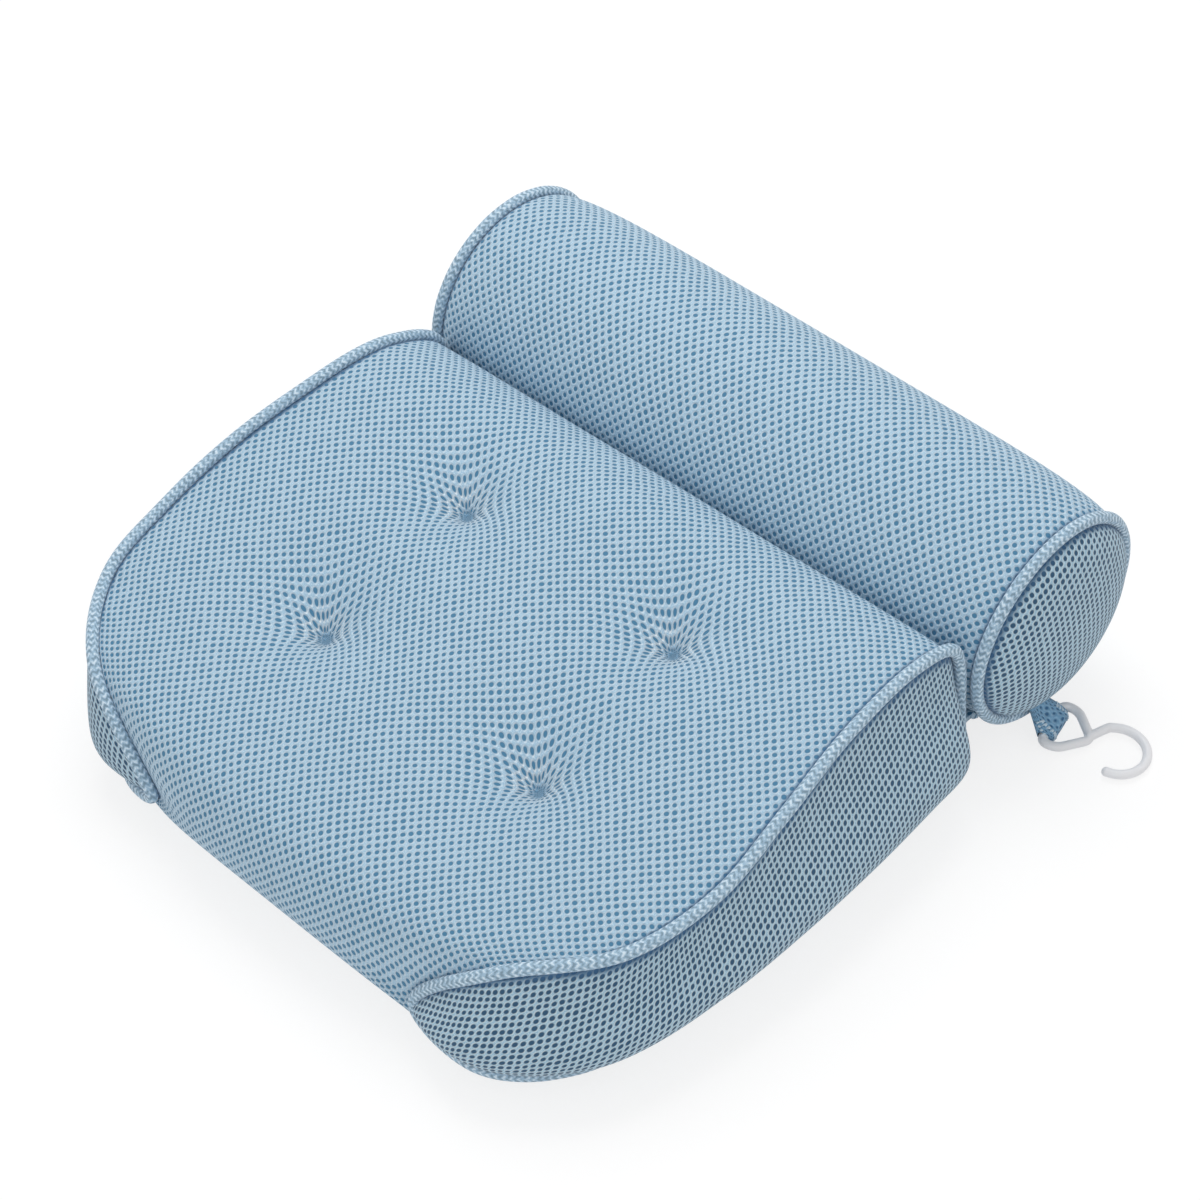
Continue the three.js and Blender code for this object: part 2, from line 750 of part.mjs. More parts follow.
// The frame's origin is on the floor under the middle of the whole object
const box = new THREE.Box3().setFromObject(pillow, true);
const middle = box.getCenter(new THREE.Vector3());
pillow.position.set(-middle.x, -middle.y, -box.min.z);

const part = new THREE.Group();
part.add(pillow);

export default part;
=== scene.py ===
# %% [markdown]
# # A bath pillow, sewn and stuffed piece by piece
# The pillow is a tufted neck cushion and a round bolster, both covered in air mesh, a knitted spacer
# fabric with small round holes. A fabric hinge joins them, suction cups stand under them, and a plastic
# hook hangs from a tab at the bolster's right end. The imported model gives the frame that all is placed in.

# %% Load the frame
import json
import math

import bmesh
import bpy
import numpy as np
from mathutils import Matrix, Vector, noise


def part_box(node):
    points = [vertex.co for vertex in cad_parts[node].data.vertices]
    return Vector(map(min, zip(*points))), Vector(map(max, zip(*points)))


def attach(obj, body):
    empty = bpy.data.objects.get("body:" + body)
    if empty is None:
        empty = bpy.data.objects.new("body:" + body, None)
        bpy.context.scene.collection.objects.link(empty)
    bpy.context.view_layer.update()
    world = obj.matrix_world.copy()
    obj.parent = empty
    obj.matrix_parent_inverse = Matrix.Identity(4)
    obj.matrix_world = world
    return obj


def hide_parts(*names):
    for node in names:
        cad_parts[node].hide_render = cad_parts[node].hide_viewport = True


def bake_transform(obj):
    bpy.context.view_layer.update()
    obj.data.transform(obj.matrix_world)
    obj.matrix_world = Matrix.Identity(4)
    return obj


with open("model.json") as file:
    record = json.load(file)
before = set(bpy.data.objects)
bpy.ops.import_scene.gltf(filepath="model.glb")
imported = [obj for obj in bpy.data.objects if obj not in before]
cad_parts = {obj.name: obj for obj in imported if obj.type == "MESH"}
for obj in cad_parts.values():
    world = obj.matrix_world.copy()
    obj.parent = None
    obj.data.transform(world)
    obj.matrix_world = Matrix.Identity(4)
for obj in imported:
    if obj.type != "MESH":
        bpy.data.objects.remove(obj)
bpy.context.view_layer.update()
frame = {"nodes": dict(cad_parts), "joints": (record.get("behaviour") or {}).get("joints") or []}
nodes = frame["nodes"]
joints = {joint["name"]: joint for joint in frame["joints"]}
print("nodes in the frame:", len(nodes))

# %% [markdown]
# ## Places and measures
# Lengths are in metres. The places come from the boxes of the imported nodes, and the sewn measures are those
# that a maker would cut to: half widths along the seams, the piping's cord, the thickness of the fabric.

# %% Measures of the pillow
mm = 0.001


def middle(node):
    lowest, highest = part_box(node)
    return (lowest + highest) / 2


cover_thickness = 2.4 * mm
clearance = 0.3 * mm
tuck = 0.8 * mm
cord_radius = 2.75 * mm
piping_radius = 3.1 * mm
underside = 8 * mm

bolster_spread = 1.033
bolster_low, bolster_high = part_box("bolster_cover")
bolster_x, bolster_y, _ = middle("bolster_cover")
bolster_radius = (bolster_high.y - bolster_low.y) / 2 / bolster_spread
bolster_z = bolster_high.z - bolster_radius
ring_low, ring_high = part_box("bolster_piping_right")
ring_x = (ring_low.x + ring_high.x) / 2 - bolster_x
ring_radius = (ring_high.z - ring_low.z) / 2 - cord_radius

seam_half_width = 173.5 * mm
cushion_depth = 272 * mm
cushion_height = 96 * mm
cushion_back = bolster_y - 58 * mm
front_corner_radius = 86 * mm
print("bolster radius", round(bolster_radius, 4), "ring at", round(ring_x, 4))


def round_bolster(x, radius, angle):
    """A place round the bolster's axis, which runs along x."""
    y = bolster_y + bolster_spread * radius * math.cos(angle)
    return Vector((x, y, bolster_z + radius * math.sin(angle)))


# %% [markdown]
# ## Small helpers
# Blender's operators act on what is selected, so every helper selects its own piece first. A piece is made in
# place: its object stays at the origin, and its mesh holds where it is.


# %% Helpers for pieces and modifiers
def new_object(name, data):
    made = bpy.data.objects.new(name, data)
    bpy.context.collection.objects.link(made)
    return made


def choose_nothing():
    bpy.ops.object.select_all(action="DESELECT")


def choose(piece):
    choose_nothing()
    piece.select_set(True)
    bpy.context.view_layer.objects.active = piece


def join_to(piece, *others):
    """Makes the others part of a piece's own mesh."""
    choose(piece)
    for other in others:
        other.select_set(True)
    bpy.ops.object.join()


def apply_modifier(piece, kind, **settings):
    choose(piece)
    modifier = piece.modifiers.new(kind.title(), kind)
    for name, value in settings.items():
        setattr(modifier, name, value)
    bpy.ops.object.modifier_apply(modifier=modifier.name)


def smooth(piece, degrees=40):
    choose(piece)
    bpy.ops.object.shade_smooth_by_angle(angle=math.radians(degrees))


def subdivide(piece, levels=1):
    apply_modifier(piece, "SUBSURF", levels=levels, render_levels=levels)


def face_outwards(piece):
    choose(piece)
    bpy.ops.object.mode_set(mode="EDIT")
    bpy.ops.mesh.select_all(action="SELECT")
    bpy.ops.mesh.remove_doubles(threshold=0.01 * mm)
    bpy.ops.mesh.normals_make_consistent(inside=False)
    bpy.ops.object.mode_set(mode="OBJECT")


def finish_piece(piece, body, slot_name, material, *replaced):
    """Gives a piece its finish, the body it moves with and the nodes it stands for."""
    piece.data.materials.clear()
    piece.data.materials.append(material)
    if replaced:
        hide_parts(*replaced)
    if body:
        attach(piece, body)
    print(piece.name, len(piece.data.polygons), "faces")
    return piece


def face_away(piece, place):
    """Turns an open sheet so that its faces look away from a place behind it."""
    outward = sum((face.center - Vector(place)).dot(face.normal) * face.area for face in piece.data.polygons)
    if outward < 0:
        piece.data.flip_normals()


def reaches(points):
    """How far along a row of points each of them is."""
    return np.concatenate(([0.0], np.cumsum([(b - a).length for a, b in zip(points, points[1:])])))


def make_cloth(sheet, behind, levels=0):
    """Gives a sewn sheet the fabric's thickness, with its faces away from the node behind it."""
    face_outwards(sheet)
    face_away(sheet, middle(behind))
    if levels:
        subdivide(sheet, levels)
    apply_modifier(sheet, "SOLIDIFY", thickness=cover_thickness, offset=-1, use_even_offset=False)
    smooth(sheet, 60)


def sewn_grid(name, grid, weave, closed=False, seams=(0, 0)):
    """A sheet of squares through rows of points, with the weave's own coordinates in metres as its UV map.

    Seams gives how far the painted shadow of a seam's crevice reaches in from the first and from the last
    column, and the seam attribute, which paints that shadow, falls from 1 at the seam to 0 there.
    """
    rows, columns = len(grid), len(grid[0])
    faces, corners = [], []
    for i in range(rows if closed else rows - 1):
        for j in range(columns - 1):
            square = [(i, j), (i + 1, j), (i + 1, j + 1), (i, j + 1)]
            faces.append([(a % rows) * columns + b for a, b in square])
            corners += [weave[a][b] for a, b in square]
    mesh = bpy.data.meshes.new(name)
    mesh.from_pydata([tuple(p) for row in grid for p in row], [], faces)
    mesh.uv_layers.new(name="weave").data.foreach_set("uv", [v for pair in corners for v in pair])
    sewn = []
    for row in grid:
        reach = reaches(row)
        shade = np.zeros(columns)
        for seam_shadow_reach, away in zip(seams, (reach, reach[-1] - reach)):
            if seam_shadow_reach:
                shade = np.maximum(shade, 1 - away / seam_shadow_reach)
        sewn.extend(shade)
    # The seam attribute paints the shadow of the crevice beside the piping into the cloth's colour.
    mesh.attributes.new("seam", "FLOAT", "POINT").data.foreach_set("value", sewn)
    return new_object(name, mesh)


def closed_curve(points, count):
    """Places along a closed curve that passes smoothly through points, count of them from start to start."""
    points = [Vector(p) for p in points]
    places = []
    for i in range(count + 1):
        along = i / count * len(points)
        k = int(along)
        w = along - k
        a, b, c, d = (points[(k + n) % len(points)] for n in (-1, 0, 1, 2))
        before, here, after = ((q - p).length ** 0.5 for p, q in ((a, b), (b, c), (c, d)))
        leave = ((b - a) / before - (c - a) / (before + here) + (c - b) / here) * here
        arrive = ((c - b) / here - (d - b) / (here + after) + (d - c) / after) * here
        bend = 3 * (c - b) - 2 * leave - arrive
        places.append(b + leave * w + bend * w**2 + (2 * (b - c) + leave + arrive) * w**3)
    return places


# %% [markdown]
# ## Air mesh
# Air mesh is two knitted faces held apart by springy threads. From a step away it is a light web with round
# holes in staggered rows, and each hole shows the darker blue between the faces, with painted shade of the
# hole's depth on it. The pattern is worked out from the piece's own weave coordinates, so that it follows the
# fabric where the tufts draw it in.


# %% Node helpers and the air mesh
def new_material(name, colour, roughness, **sockets):
    material = bpy.data.materials.new(name)
    material.use_nodes = True
    tree = material.node_tree
    shader = tree.nodes["Principled BSDF"]
    shader.inputs["Base Color"].default_value = (*colour, 1)
    shader.inputs["Roughness"].default_value = roughness
    for socket, value in sockets.items():
        shader.inputs[socket.replace("_", " ")].default_value = value
    return material, tree, shader


def node(tree, kind, inputs=(), **settings):
    made = tree.nodes.new(kind)
    for name, value in settings.items():
        setattr(made, name, value)
    for socket, value in dict(inputs).items():
        if isinstance(value, bpy.types.NodeSocket):
            tree.links.new(value, made.inputs[socket])
        else:
            made.inputs[socket].default_value = value
    return made


def number(tree, operation, a, b=0.0, c=0.0):
    return node(tree, "ShaderNodeMath", {0: a, 1: b, 2: c}, operation=operation).outputs[0]


def vector(tree, operation, a, b=(0, 0, 0)):
    return node(tree, "ShaderNodeVectorMath", {0: a, 1: b}, operation=operation)


def noise_in(tree, place, scale, detail=2.0):
    return node(tree, "ShaderNodeTexNoise", {"Vector": place, "Scale": scale, "Detail": detail}).outputs


def ramp(tree, value, low, high, to_low=0.0, to_high=1.0):
    inputs = {"Value": value, "From Min": low, "From Max": high, "To Min": to_low, "To Max": to_high}
    return node(tree, "ShaderNodeMapRange", inputs, interpolation_type="SMOOTHSTEP").outputs[0]


def mix(tree, factor, a, b, blend="MIX"):
    return node(tree, "ShaderNodeMix", {0: factor, 6: a, 7: b}, data_type="RGBA", blend_type=blend).outputs[2]


web_blue = (0.34, 0.535, 0.695)
strand_blue = (0.73, 0.86, 0.96)
taut_blue = (0.76, 0.91, 0.98)
gathered_blue = (0.92, 0.96, 0.98)
# Painted shade in the pinch at each tuft's centre
pinch_shade_blue = (0.13, 0.33, 0.53)
# The blue between the faces, darkened with painted shade of each hole's depth
hole_blue_and_shade = (0.06, 0.205, 0.35)
# Painted shadow of the crevice beside the piping
seam_shadow_blue = (0.035, 0.12, 0.25)
hole_share = 0.262
taut_share = 0.3
web_relief = 0.8 * mm


def emboss(tree, shader, height, strength, distance):
    bump = node(tree, "ShaderNodeBump", {"Height": height, "Strength": strength, "Distance": distance})
    tree.links.new(bump.outputs[0], shader.inputs["Normal"])


def attribute(tree, name):
    return node(tree, "ShaderNodeAttribute", attribute_name=name).outputs["Fac"]


def lattice(tree, cells, pitch, shift):
    """Distance from the nearest hole of one set of rows, and how much of it is sideways."""
    moved = vector(tree, "ADD", cells, (shift, shift, 0)).outputs[0]
    odd = node(tree, "ShaderNodeTexWhiteNoise", {"Vector": vector(tree, "FLOOR", moved).outputs[0]})
    inside = vector(tree, "SUBTRACT", vector(tree, "FRACTION", moved).outputs[0], (0.5, 0.5, 0)).outputs[0]
    measured = vector(tree, "MULTIPLY", inside, (*pitch, 0)).outputs[0]
    away = vector(tree, "LENGTH", measured).outputs[1]
    sideways = number(tree, "ABSOLUTE", node(tree, "ShaderNodeSeparateXYZ", {0: measured}).outputs[0])
    beside = number(tree, "DIVIDE", sideways, number(tree, "ADD", away, 0.05 * mm))
    return number(tree, "MULTIPLY_ADD", odd.outputs[0], 0.2 * mm, away), beside


def air_mesh(name, pitch, web=web_blue, hole=hole_blue_and_shade, light=strand_blue, share=hole_share):
    """The share is a hole's radius in its row's pitch: fabric that is pulled tight has wider holes."""
    # The hole colour is the blue between the faces, with painted shade of the hole's depth.
    material, tree, shader = new_material(name, web, 0.78, Sheen_Weight=0.2, Sheen_Roughness=0.4)
    weave = node(tree, "ShaderNodeUVMap", uv_map="weave").outputs[0]
    waver = noise_in(tree, weave, 90.0, 1.0)[1]
    drift = vector(tree, "SCALE", vector(tree, "SUBTRACT", waver, (0.5, 0.5, 0.5)).outputs[0])
    drift.inputs[3].default_value = 1.2 * mm
    place = vector(tree, "ADD", weave, drift.outputs[0]).outputs[0]
    cells = vector(tree, "DIVIDE", place, (*pitch, 1)).outputs[0]
    first, first_beside = lattice(tree, cells, pitch, 0.0)
    second, second_beside = lattice(tree, cells, pitch, 0.5)
    distance = number(tree, "MINIMUM", first, second)
    nearer = number(tree, "LESS_THAN", first, second)
    gain = number(tree, "SUBTRACT", first_beside, second_beside)
    beside = number(tree, "MULTIPLY_ADD", nearer, gain, second_beside)

    gather, seam_shadow_mask = attribute(tree, "gather"), attribute(tree, "seam")
    hole_radius = share * pitch[0]
    grown = number(tree, "MULTIPLY_ADD", ramp(tree, gather, 0.4, 1.0), 0.9 * mm, distance)
    web_part = ramp(tree, grown, hole_radius - 0.35 * mm, hole_radius + 0.3 * mm)
    strand = ramp(tree, distance, hole_radius, hole_radius + 0.95 * mm, 1.0, 0.0)
    strand = number(tree, "MULTIPLY", strand, ramp(tree, beside, 0.25, 0.9, 0.3, 1.0))
    yarn = noise_in(tree, weave, 2400.0)[0]
    fleck = ramp(tree, yarn, 0.45, 0.68, 0.0, 0.75)
    lit = number(tree, "MAXIMUM", strand, fleck)
    patch = noise_in(tree, weave, 14.0)[0]
    uneven = mix(tree, ramp(tree, patch, 0.3, 0.7, 0.0, 0.2), (*web, 1), (*[c * 0.84 for c in web], 1))
    light_tone = mix(tree, ramp(tree, gather, 0.03, 0.25), (*light, 1), (*gathered_blue, 1))
    thread = mix(tree, lit, uneven, light_tone)
    # Painted shade: the tuft's centre goes dark blue, where the pinched threads lie in shade.
    pinch_shaded = mix(tree, ramp(tree, gather, 0.35, 0.75, 0.0, 0.8), thread, (*pinch_shade_blue, 1))
    # Holes: the blue between the faces, with painted shade of their depth
    holed = mix(tree, web_part, (*hole, 1), pinch_shaded)
    # Painted shadow: the colour goes dark blue towards each seam, where the crevice beside the piping lies.
    sewn = mix(tree, ramp(tree, seam_shadow_mask, 0.15, 0.55, 0.0, 0.85), holed, (*seam_shadow_blue, 1))
    tree.links.new(sewn, shader.inputs["Base Color"])
    round_web = ramp(tree, distance, hole_radius - 0.4 * mm, hole_radius + 0.8 * mm)
    emboss(tree, shader, number(tree, "MULTIPLY_ADD", yarn, 0.15, round_web), 0.8, web_relief)
    return material


cushion_mesh = air_mesh("air_mesh", (4.8 * mm, 5.3 * mm))
# Panels and caps: wider holes where the cloth is pulled tight, lighter strands, a slightly darker web and
# deeper painted shade in the holes
taut_cloth = {"web": (0.29, 0.51, 0.69), "hole": (0.02, 0.08, 0.16), "light": taut_blue, "share": taut_share}
tab_cloth = {"web": (0.15, 0.35, 0.56), "hole": (0.03, 0.13, 0.27), "light": (0.3, 0.52, 0.72)}
panel_mesh = air_mesh("air_mesh_panels", (4.25 * mm, 4.7 * mm), **taut_cloth)
bolster_mesh = air_mesh("air_mesh_bolster", (4.95 * mm, 5.85 * mm))
cap_mesh = air_mesh("air_mesh_caps", (4.4 * mm, 5.1 * mm), **taut_cloth)
tab_mesh = air_mesh("air_mesh_tab", (2.3 * mm, 2.9 * mm), **tab_cloth)

# %% [markdown]
# ## The other finishes
# The piping is a fine knitted tape round a soft cord. The tab and the hinge are folded mesh, the tab with an
# overlocked edge, the hook is satin white plastic, and the suction cups are clear soft vinyl.


# %% Knitted tape, thread, plastic, vinyl and fibre
def knit(name, colour, stitch, relief):
    """Rows of small v-shaped stitches along u, of a yarn with lighter and darker flecks."""
    material, tree, shader = new_material(name, colour, 0.8, Sheen_Weight=0.3, Sheen_Roughness=0.4)
    weave = node(tree, "ShaderNodeUVMap", uv_map="weave").outputs[0]
    parts = node(tree, "ShaderNodeSeparateXYZ", {0: weave})
    across = number(tree, "DIVIDE", parts.outputs[1], stitch)
    slant = number(tree, "ABSOLUTE", number(tree, "SUBTRACT", number(tree, "FRACT", across), 0.5))
    along = number(tree, "SUBTRACT", number(tree, "DIVIDE", parts.outputs[0], stitch), slant)
    rows = number(tree, "SINE", number(tree, "MULTIPLY", along, math.tau))
    wave = number(tree, "MULTIPLY_ADD", rows, 0.5, 0.5)
    flecks = {"Vector": weave, "Scale": 480.0, "Detail": 3.0, "Roughness": 0.65}
    marl = node(tree, "ShaderNodeTexNoise", flecks)
    loops = number(tree, "MULTIPLY_ADD", wave, 0.3, marl.outputs[0])
    dark = tuple(c * 0.6 for c in colour)
    low_tone = mix(tree, ramp(tree, loops, 0.45, 0.66), (*dark, 1), (*colour, 1))
    tone = mix(tree, ramp(tree, loops, 0.68, 0.86, 0.0, 0.9), low_tone, (*strand_blue, 1))
    tree.links.new(tone, shader.inputs["Base Color"])
    emboss(tree, shader, loops, 0.8, relief)
    return material


def fibre(name, colour, scale, roughness=0.9):
    """Matt fibres: speckled in colour and height on the piece's own coordinates."""
    material, tree, shader = new_material(name, colour, roughness, Sheen_Weight=0.3)
    place = node(tree, "ShaderNodeTexCoord").outputs["Object"]
    fuzz = noise_in(tree, place, scale, 4.0)[0]
    tone = mix(tree, ramp(tree, fuzz, 0.3, 0.7), (*[c * 0.8 for c in colour], 1), (*colour, 1))
    tree.links.new(tone, shader.inputs["Base Color"])
    emboss(tree, shader, fuzz, 0.5, 0.4 * mm)
    return material


def moulded(name, colour, roughness, **sockets):
    """Moulded plastic: even colour, with a faint flow mottling and fine handling marks in its gloss."""
    material, tree, shader = new_material(name, colour, roughness, **sockets)
    place = node(tree, "ShaderNodeTexCoord").outputs["Object"]
    flow = noise_in(tree, place, 60.0, 3.0)[0]
    tree.links.new(ramp(tree, flow, 0.3, 0.7, roughness * 0.8, roughness * 1.25), shader.inputs["Roughness"])
    emboss(tree, shader, noise_in(tree, place, 1500.0)[0], 0.12, 0.05 * mm)
    return material


piping_knit = knit("piping", (0.36, 0.53, 0.68), 3.2 * mm, 0.7 * mm)
thread_blue = fibre("thread", (0.16, 0.33, 0.52), 1800)
overlock_thread = fibre("overlock_thread", (0.62, 0.77, 0.88), 1800)
filling_white = fibre("filling", (0.88, 0.87, 0.84), 240)
white_plastic = moulded("white_plastic", (0.86, 0.86, 0.88), 0.36)
clear_vinyl = moulded("clear_vinyl", (0.82, 0.88, 0.92), 0.12, Transmission_Weight=0.85, IOR=1.5)

# %% [markdown]
# ## The photograph's camera
# The camera stands at the photograph's angle: 44.5 degrees round from the front and 45.9 degrees above the
# floor, with a long lens. The lens and the distance were worked out from the pillow's left-right symmetry.

# %% Camera
camera_place = Vector((bolster_x + 0.75349, bolster_y - 0.88371, 1.15356))
azimuth, elevation, camera_roll = (math.radians(v) for v in (44.526, 45.933, -1.384))
back = Vector(
    (math.sin(azimuth) * math.cos(elevation), -math.cos(azimuth) * math.cos(elevation), math.sin(elevation))
)
level = Vector((math.cos(azimuth), math.sin(azimuth), 0))
upward = back.cross(level)
right = level * math.cos(camera_roll) + upward * math.sin(camera_roll)
upright = upward * math.cos(camera_roll) - level * math.sin(camera_roll)
camera_data = bpy.data.cameras.new("camera")
camera_data.sensor_width = 36
camera_data.lens = 99.43
camera = new_object("camera", camera_data)
camera.matrix_world = Matrix.Translation(camera_place) @ Matrix((right, upright, back)).transposed().to_4x4()
bpy.context.scene.camera = camera

# %% [markdown]
# ## Studio light and floor
# The photograph has a wide soft light from above on a white sweep. A large lamp overhead and a bright world
# give that, at a level where a colour renders about as it is written.


# %% Light and floor
def soft_lamp(name, place, target, size, power):
    lamp_data = bpy.data.lights.new(name, "AREA")
    lamp_data.shape = "DISK"
    lamp_data.size = size
    lamp_data.energy = power
    lamp = new_object(name, lamp_data)
    lamp.location = place
    lamp.rotation_euler = (Vector(target) - Vector(place)).to_track_quat("-Z", "Y").to_euler()


soft_lamp("overhead", (-0.5, 0.5, 1.7), (0, 0, 0), 1.2, 14)
soft_lamp("front_fill", (1.0, -1.3, 0.9), (0, 0, 0.05), 1.2, 4)


def seen_directly(tree):
    """1 for what the camera sees, also by way of a shine or through something clear, and 0 for light."""
    path = node(tree, "ShaderNodeLightPath").outputs
    shine = number(tree, "MAXIMUM", path["Is Glossy Ray"], path["Is Transmission Ray"])
    return number(tree, "MAXIMUM", path["Is Camera Ray"], shine)


world_level = 0.6
world = bpy.data.worlds.new("studio")
world.use_nodes = True
backdrop = world.node_tree.nodes["Background"]
backdrop.inputs["Color"].default_value = (1, 1, 1, 1)
world_strength = ramp(world.node_tree, seen_directly(world.node_tree), 0.0, 1.0, world_level, 1.0)
world.node_tree.links.new(world_strength, backdrop.inputs["Strength"])
bpy.context.scene.world = world
bpy.context.scene.view_settings.view_transform = "Standard"

choose_nothing()
bpy.ops.mesh.primitive_circle_add(vertices=96, radius=6, fill_type="NGON", location=(0, 0, -0.0002))
floor = bpy.context.object
floor.name = "floor"
paper_white, seen_white, seen_glow = 0.9, 0.25, 0.78
paper = new_material("floor_paper", [paper_white] * 3, 1.0, Specular_IOR_Level=0.0)
floor_paper, floor_tree, floor_shader = paper
floor_seen = seen_directly(floor_tree)
floor_tone = mix(floor_tree, floor_seen, (*[paper_white] * 3, 1), (*[seen_white] * 3, 1))
floor_tree.links.new(floor_tone, floor_shader.inputs["Base Color"])
floor_shader.inputs["Emission Color"].default_value = (1, 1, 1, 1)
floor_glow = number(floor_tree, "MULTIPLY", floor_seen, seen_glow)
floor_tree.links.new(floor_glow, floor_shader.inputs["Emission Strength"])
floor.data.materials.append(floor_paper)

# %% [markdown]
# ## The neck cushion's seam and profile
# One closed seam runs round each end of the cushion: up the back, over the top, down round the front corner
# and back along the bottom. The wrap, the end panel and the piping all follow it, so it is worked out once.
# The tables are shares of the half width, the depth and the height.

# %% Seam and profile
seam_shares = [
    (0.942, 0.006, 0.44),
    (0.942, 0.02, 0.81),
    (0.945, 0.125, 0.925),
    (0.96, 0.303, 0.905),
    (0.99, 0.471, 0.823),
    (1, 0.636, 0.7),
    (0.94, 0.805, 0.645),
    (0.738, 0.949, 0.585),
    (0.5, 1, 0.146),
    (0.71, 1, 0.04),
    (0.855, 0.89, 0.04),
    (0.905, 0.676, 0.04),
    (0.925, 0.493, 0.04),
    (0.93, 0.327, 0.04),
    (0.92, 0.162, 0.04),
    (0.915, 0.029, 0.06),
]
profile_shares = [
    (0.0165, 0.44),
    (0.026, 0.82),
    (0.13, 0.96),
    (0.303, 0.92),
    (0.471, 0.85),
    (0.636, 0.78),
    (0.816, 0.705),
    (0.98, 0.565),
    (1.026, 0.25),
    (0.985, 0.018),
    (0.886, 0),
    (0.676, 0),
    (0.493, 0),
    (0.327, 0),
    (0.162, 0),
    (0.037, 0.05),
]
row_count = len(seam_shares) * 18
column_count = 160


def at(share_x, share_y, share_z):
    depth_place = cushion_back - share_y * cushion_depth
    return Vector((share_x * seam_half_width, depth_place, underside + share_z * cushion_height))


seam = closed_curve([at(*share) for share in seam_shares], row_count)
profile = closed_curve([at(0, *share) for share in profile_shares], row_count)


def profile_normal(row):
    along = profile[(row + 1) % row_count] - profile[(row - 1) % row_count]
    return Vector((0, along.z, -along.y)).normalized()


profile_normals = [profile_normal(row) for row in range(row_count + 1)]


def end_normal(point):
    corner_x = seam_half_width - front_corner_radius
    corner_y = cushion_back - cushion_depth + front_corner_radius
    out = Vector((max(point.x - corner_x, 0), min(point.y - corner_y, 0), 0))
    return out.normalized() if out.length > 0 else Vector((0, -1, 0))


def ridge(row, inset=0.0):
    """Where wrap and end panel meet under the piping."""
    out = (profile_normals[row] + end_normal(seam[row])).normalized()
    depth = piping_radius - tuck + inset / out.dot(profile_normals[row])
    return seam[row] - out * depth


# %% [markdown]
# ## How the cushion has settled
# A soft cushion doesn't stand as it was cut. The lower part of this one leans to the right, the far left
# corner of its top has sunk, and the front left corner is tucked under. Every sewn piece of the cushion is
# worked out new, and then moved to where it has settled.

# %% Settling
lean_left, lean_right = 28 * mm, 15 * mm
lean_reach, lean_power = 1.03, 3
slump, slump_reach = 18 * mm, 0.3
settled_shift = 1.5 * mm
under_tuck, tuck_power = 22 * mm, 6
corner_power = 12


def settled(point, side=1):
    """Where a point of the new cushion is on the settled one, for its right side or, mirrored, its left."""
    across = side * point.x
    depth = (cushion_back - point.y) / cushion_depth
    height = (point.z - underside) / cushion_height
    behind = min(max(1 - depth / slump_reach, 0), 1)
    towards_left = (1 - across / seam_half_width) / 2
    lean = (lean_right + (lean_left - lean_right) * towards_left) * abs(1 - height) ** lean_power
    lean *= 1 - min(abs(depth / lean_reach), 1) ** corner_power
    sunk = slump * towards_left * height * behind**2
    tucked = under_tuck * towards_left**2 * abs(1 - height) ** corner_power * max(depth, 0) ** tuck_power
    return Vector((bolster_x + across + settled_shift + lean + tucked, point.y + tucked, point.z - sunk))


# %% [markdown]
# ## Tufts
# Four ties pull the cover down. The fabric falls steeply to each tie and is drawn in round it, so the rows of
# holes crowd together and point at the tuft. The dip moves the surface, and the drawing-in moves the weave.

# %% Tufts
tuft_depth = 26 * mm
tuft_spread = 24 * mm
tuft_point = 2.2 * mm
tuft_clearing = 40 * mm
gather_pull = 12 * mm
gather_reach = 16 * mm
gather_core = 1 * mm
gather_glow = 6 * mm
tuft_share = 0.395
dip_blend = 5
rows_per_share = row_count // len(seam_shares)
tuft_places = [
    Vector((side * tuft_share * ridge(place * rows_per_share).x, cushion_back - depth * cushion_depth))
    for place, depth in ((3, 0.303), (5, 0.636))
    for side in (-1, 1)
]


def tuft_dip(x, y):
    dips = [
        tuft_depth * math.exp((tuft_point - math.hypot(x - t.x, y - t.y, tuft_point)) / tuft_spread)
        for t in tuft_places
    ]
    return sum(dip**dip_blend for dip in dips) ** (1 / dip_blend)


def gathered(x, y, u, v):
    """The weave's coordinates at a place, with the fabric that the tufts have drawn in."""
    for t in tuft_places:
        away = math.hypot(x - t.x, y - t.y)
        if away > 0:
            pull = gather_pull * math.exp(-away / gather_reach) / (away + gather_core)
            u += (x - t.x) * pull
            v -= (y - t.y) * pull
    return u, v


# %% [markdown]
# ## The wrap
# The wrap is one panel of air mesh that goes right round the cushion. It is a grid of rows round the profile
# and columns from seam to seam, full in the middle and running down to the ridge under each piping.


# %% Wrap of the neck cushion
def fullness(row, column):
    """1 at the middle of the wrap and 0 at its seams: flatter underneath, and rounder at the front."""
    normal = profile_normals[row]
    flatness = 4 + 4 * max(-normal.z, 0)
    roundness = 0.5 + 1.1 * max(-normal.y, 0)
    return (1 - abs(column) ** flatness) ** roundness


def wrap_point(row, column, inset=0.0, tufted=True):
    edge = ridge(row, inset)
    heart = profile[row] - profile_normals[row] * inset
    full = fullness(row, column)
    point = edge.lerp(heart, full)
    point.x = edge.x * column
    if tufted:
        on_top = max(profile_normals[row].z, 0)
        point.z -= tuft_dip(point.x, point.y) * (1 + inset / tuft_clearing) * on_top * full
    return point


def wrap_grid(columns, rows, inset=0.0, tufted=True):
    return [[wrap_point(row, column, inset, tufted) for column in columns] for row in rows]


def wrap_weave(columns):
    """Flat coordinates of the wrap: along each row from the middle, and along the profile."""
    plain = wrap_grid(columns, range(row_count + 1), tufted=False)
    centre = len(columns) // 2
    weave, v = [], 0.0
    for row, points in enumerate(plain):
        reach = reaches(points)
        if row:
            v += (points[centre] - plain[row - 1][centre]).length
        top = max(profile_normals[row].z, 0)
        line = []
        for point, u in zip(points, reach - reach[centre]):
            drawn_u, drawn_v = gathered(point.x, point.y, u, v)
            line.append((u + (drawn_u - u) * top, v + (drawn_v - v) * top))
        weave.append(line)
    return weave
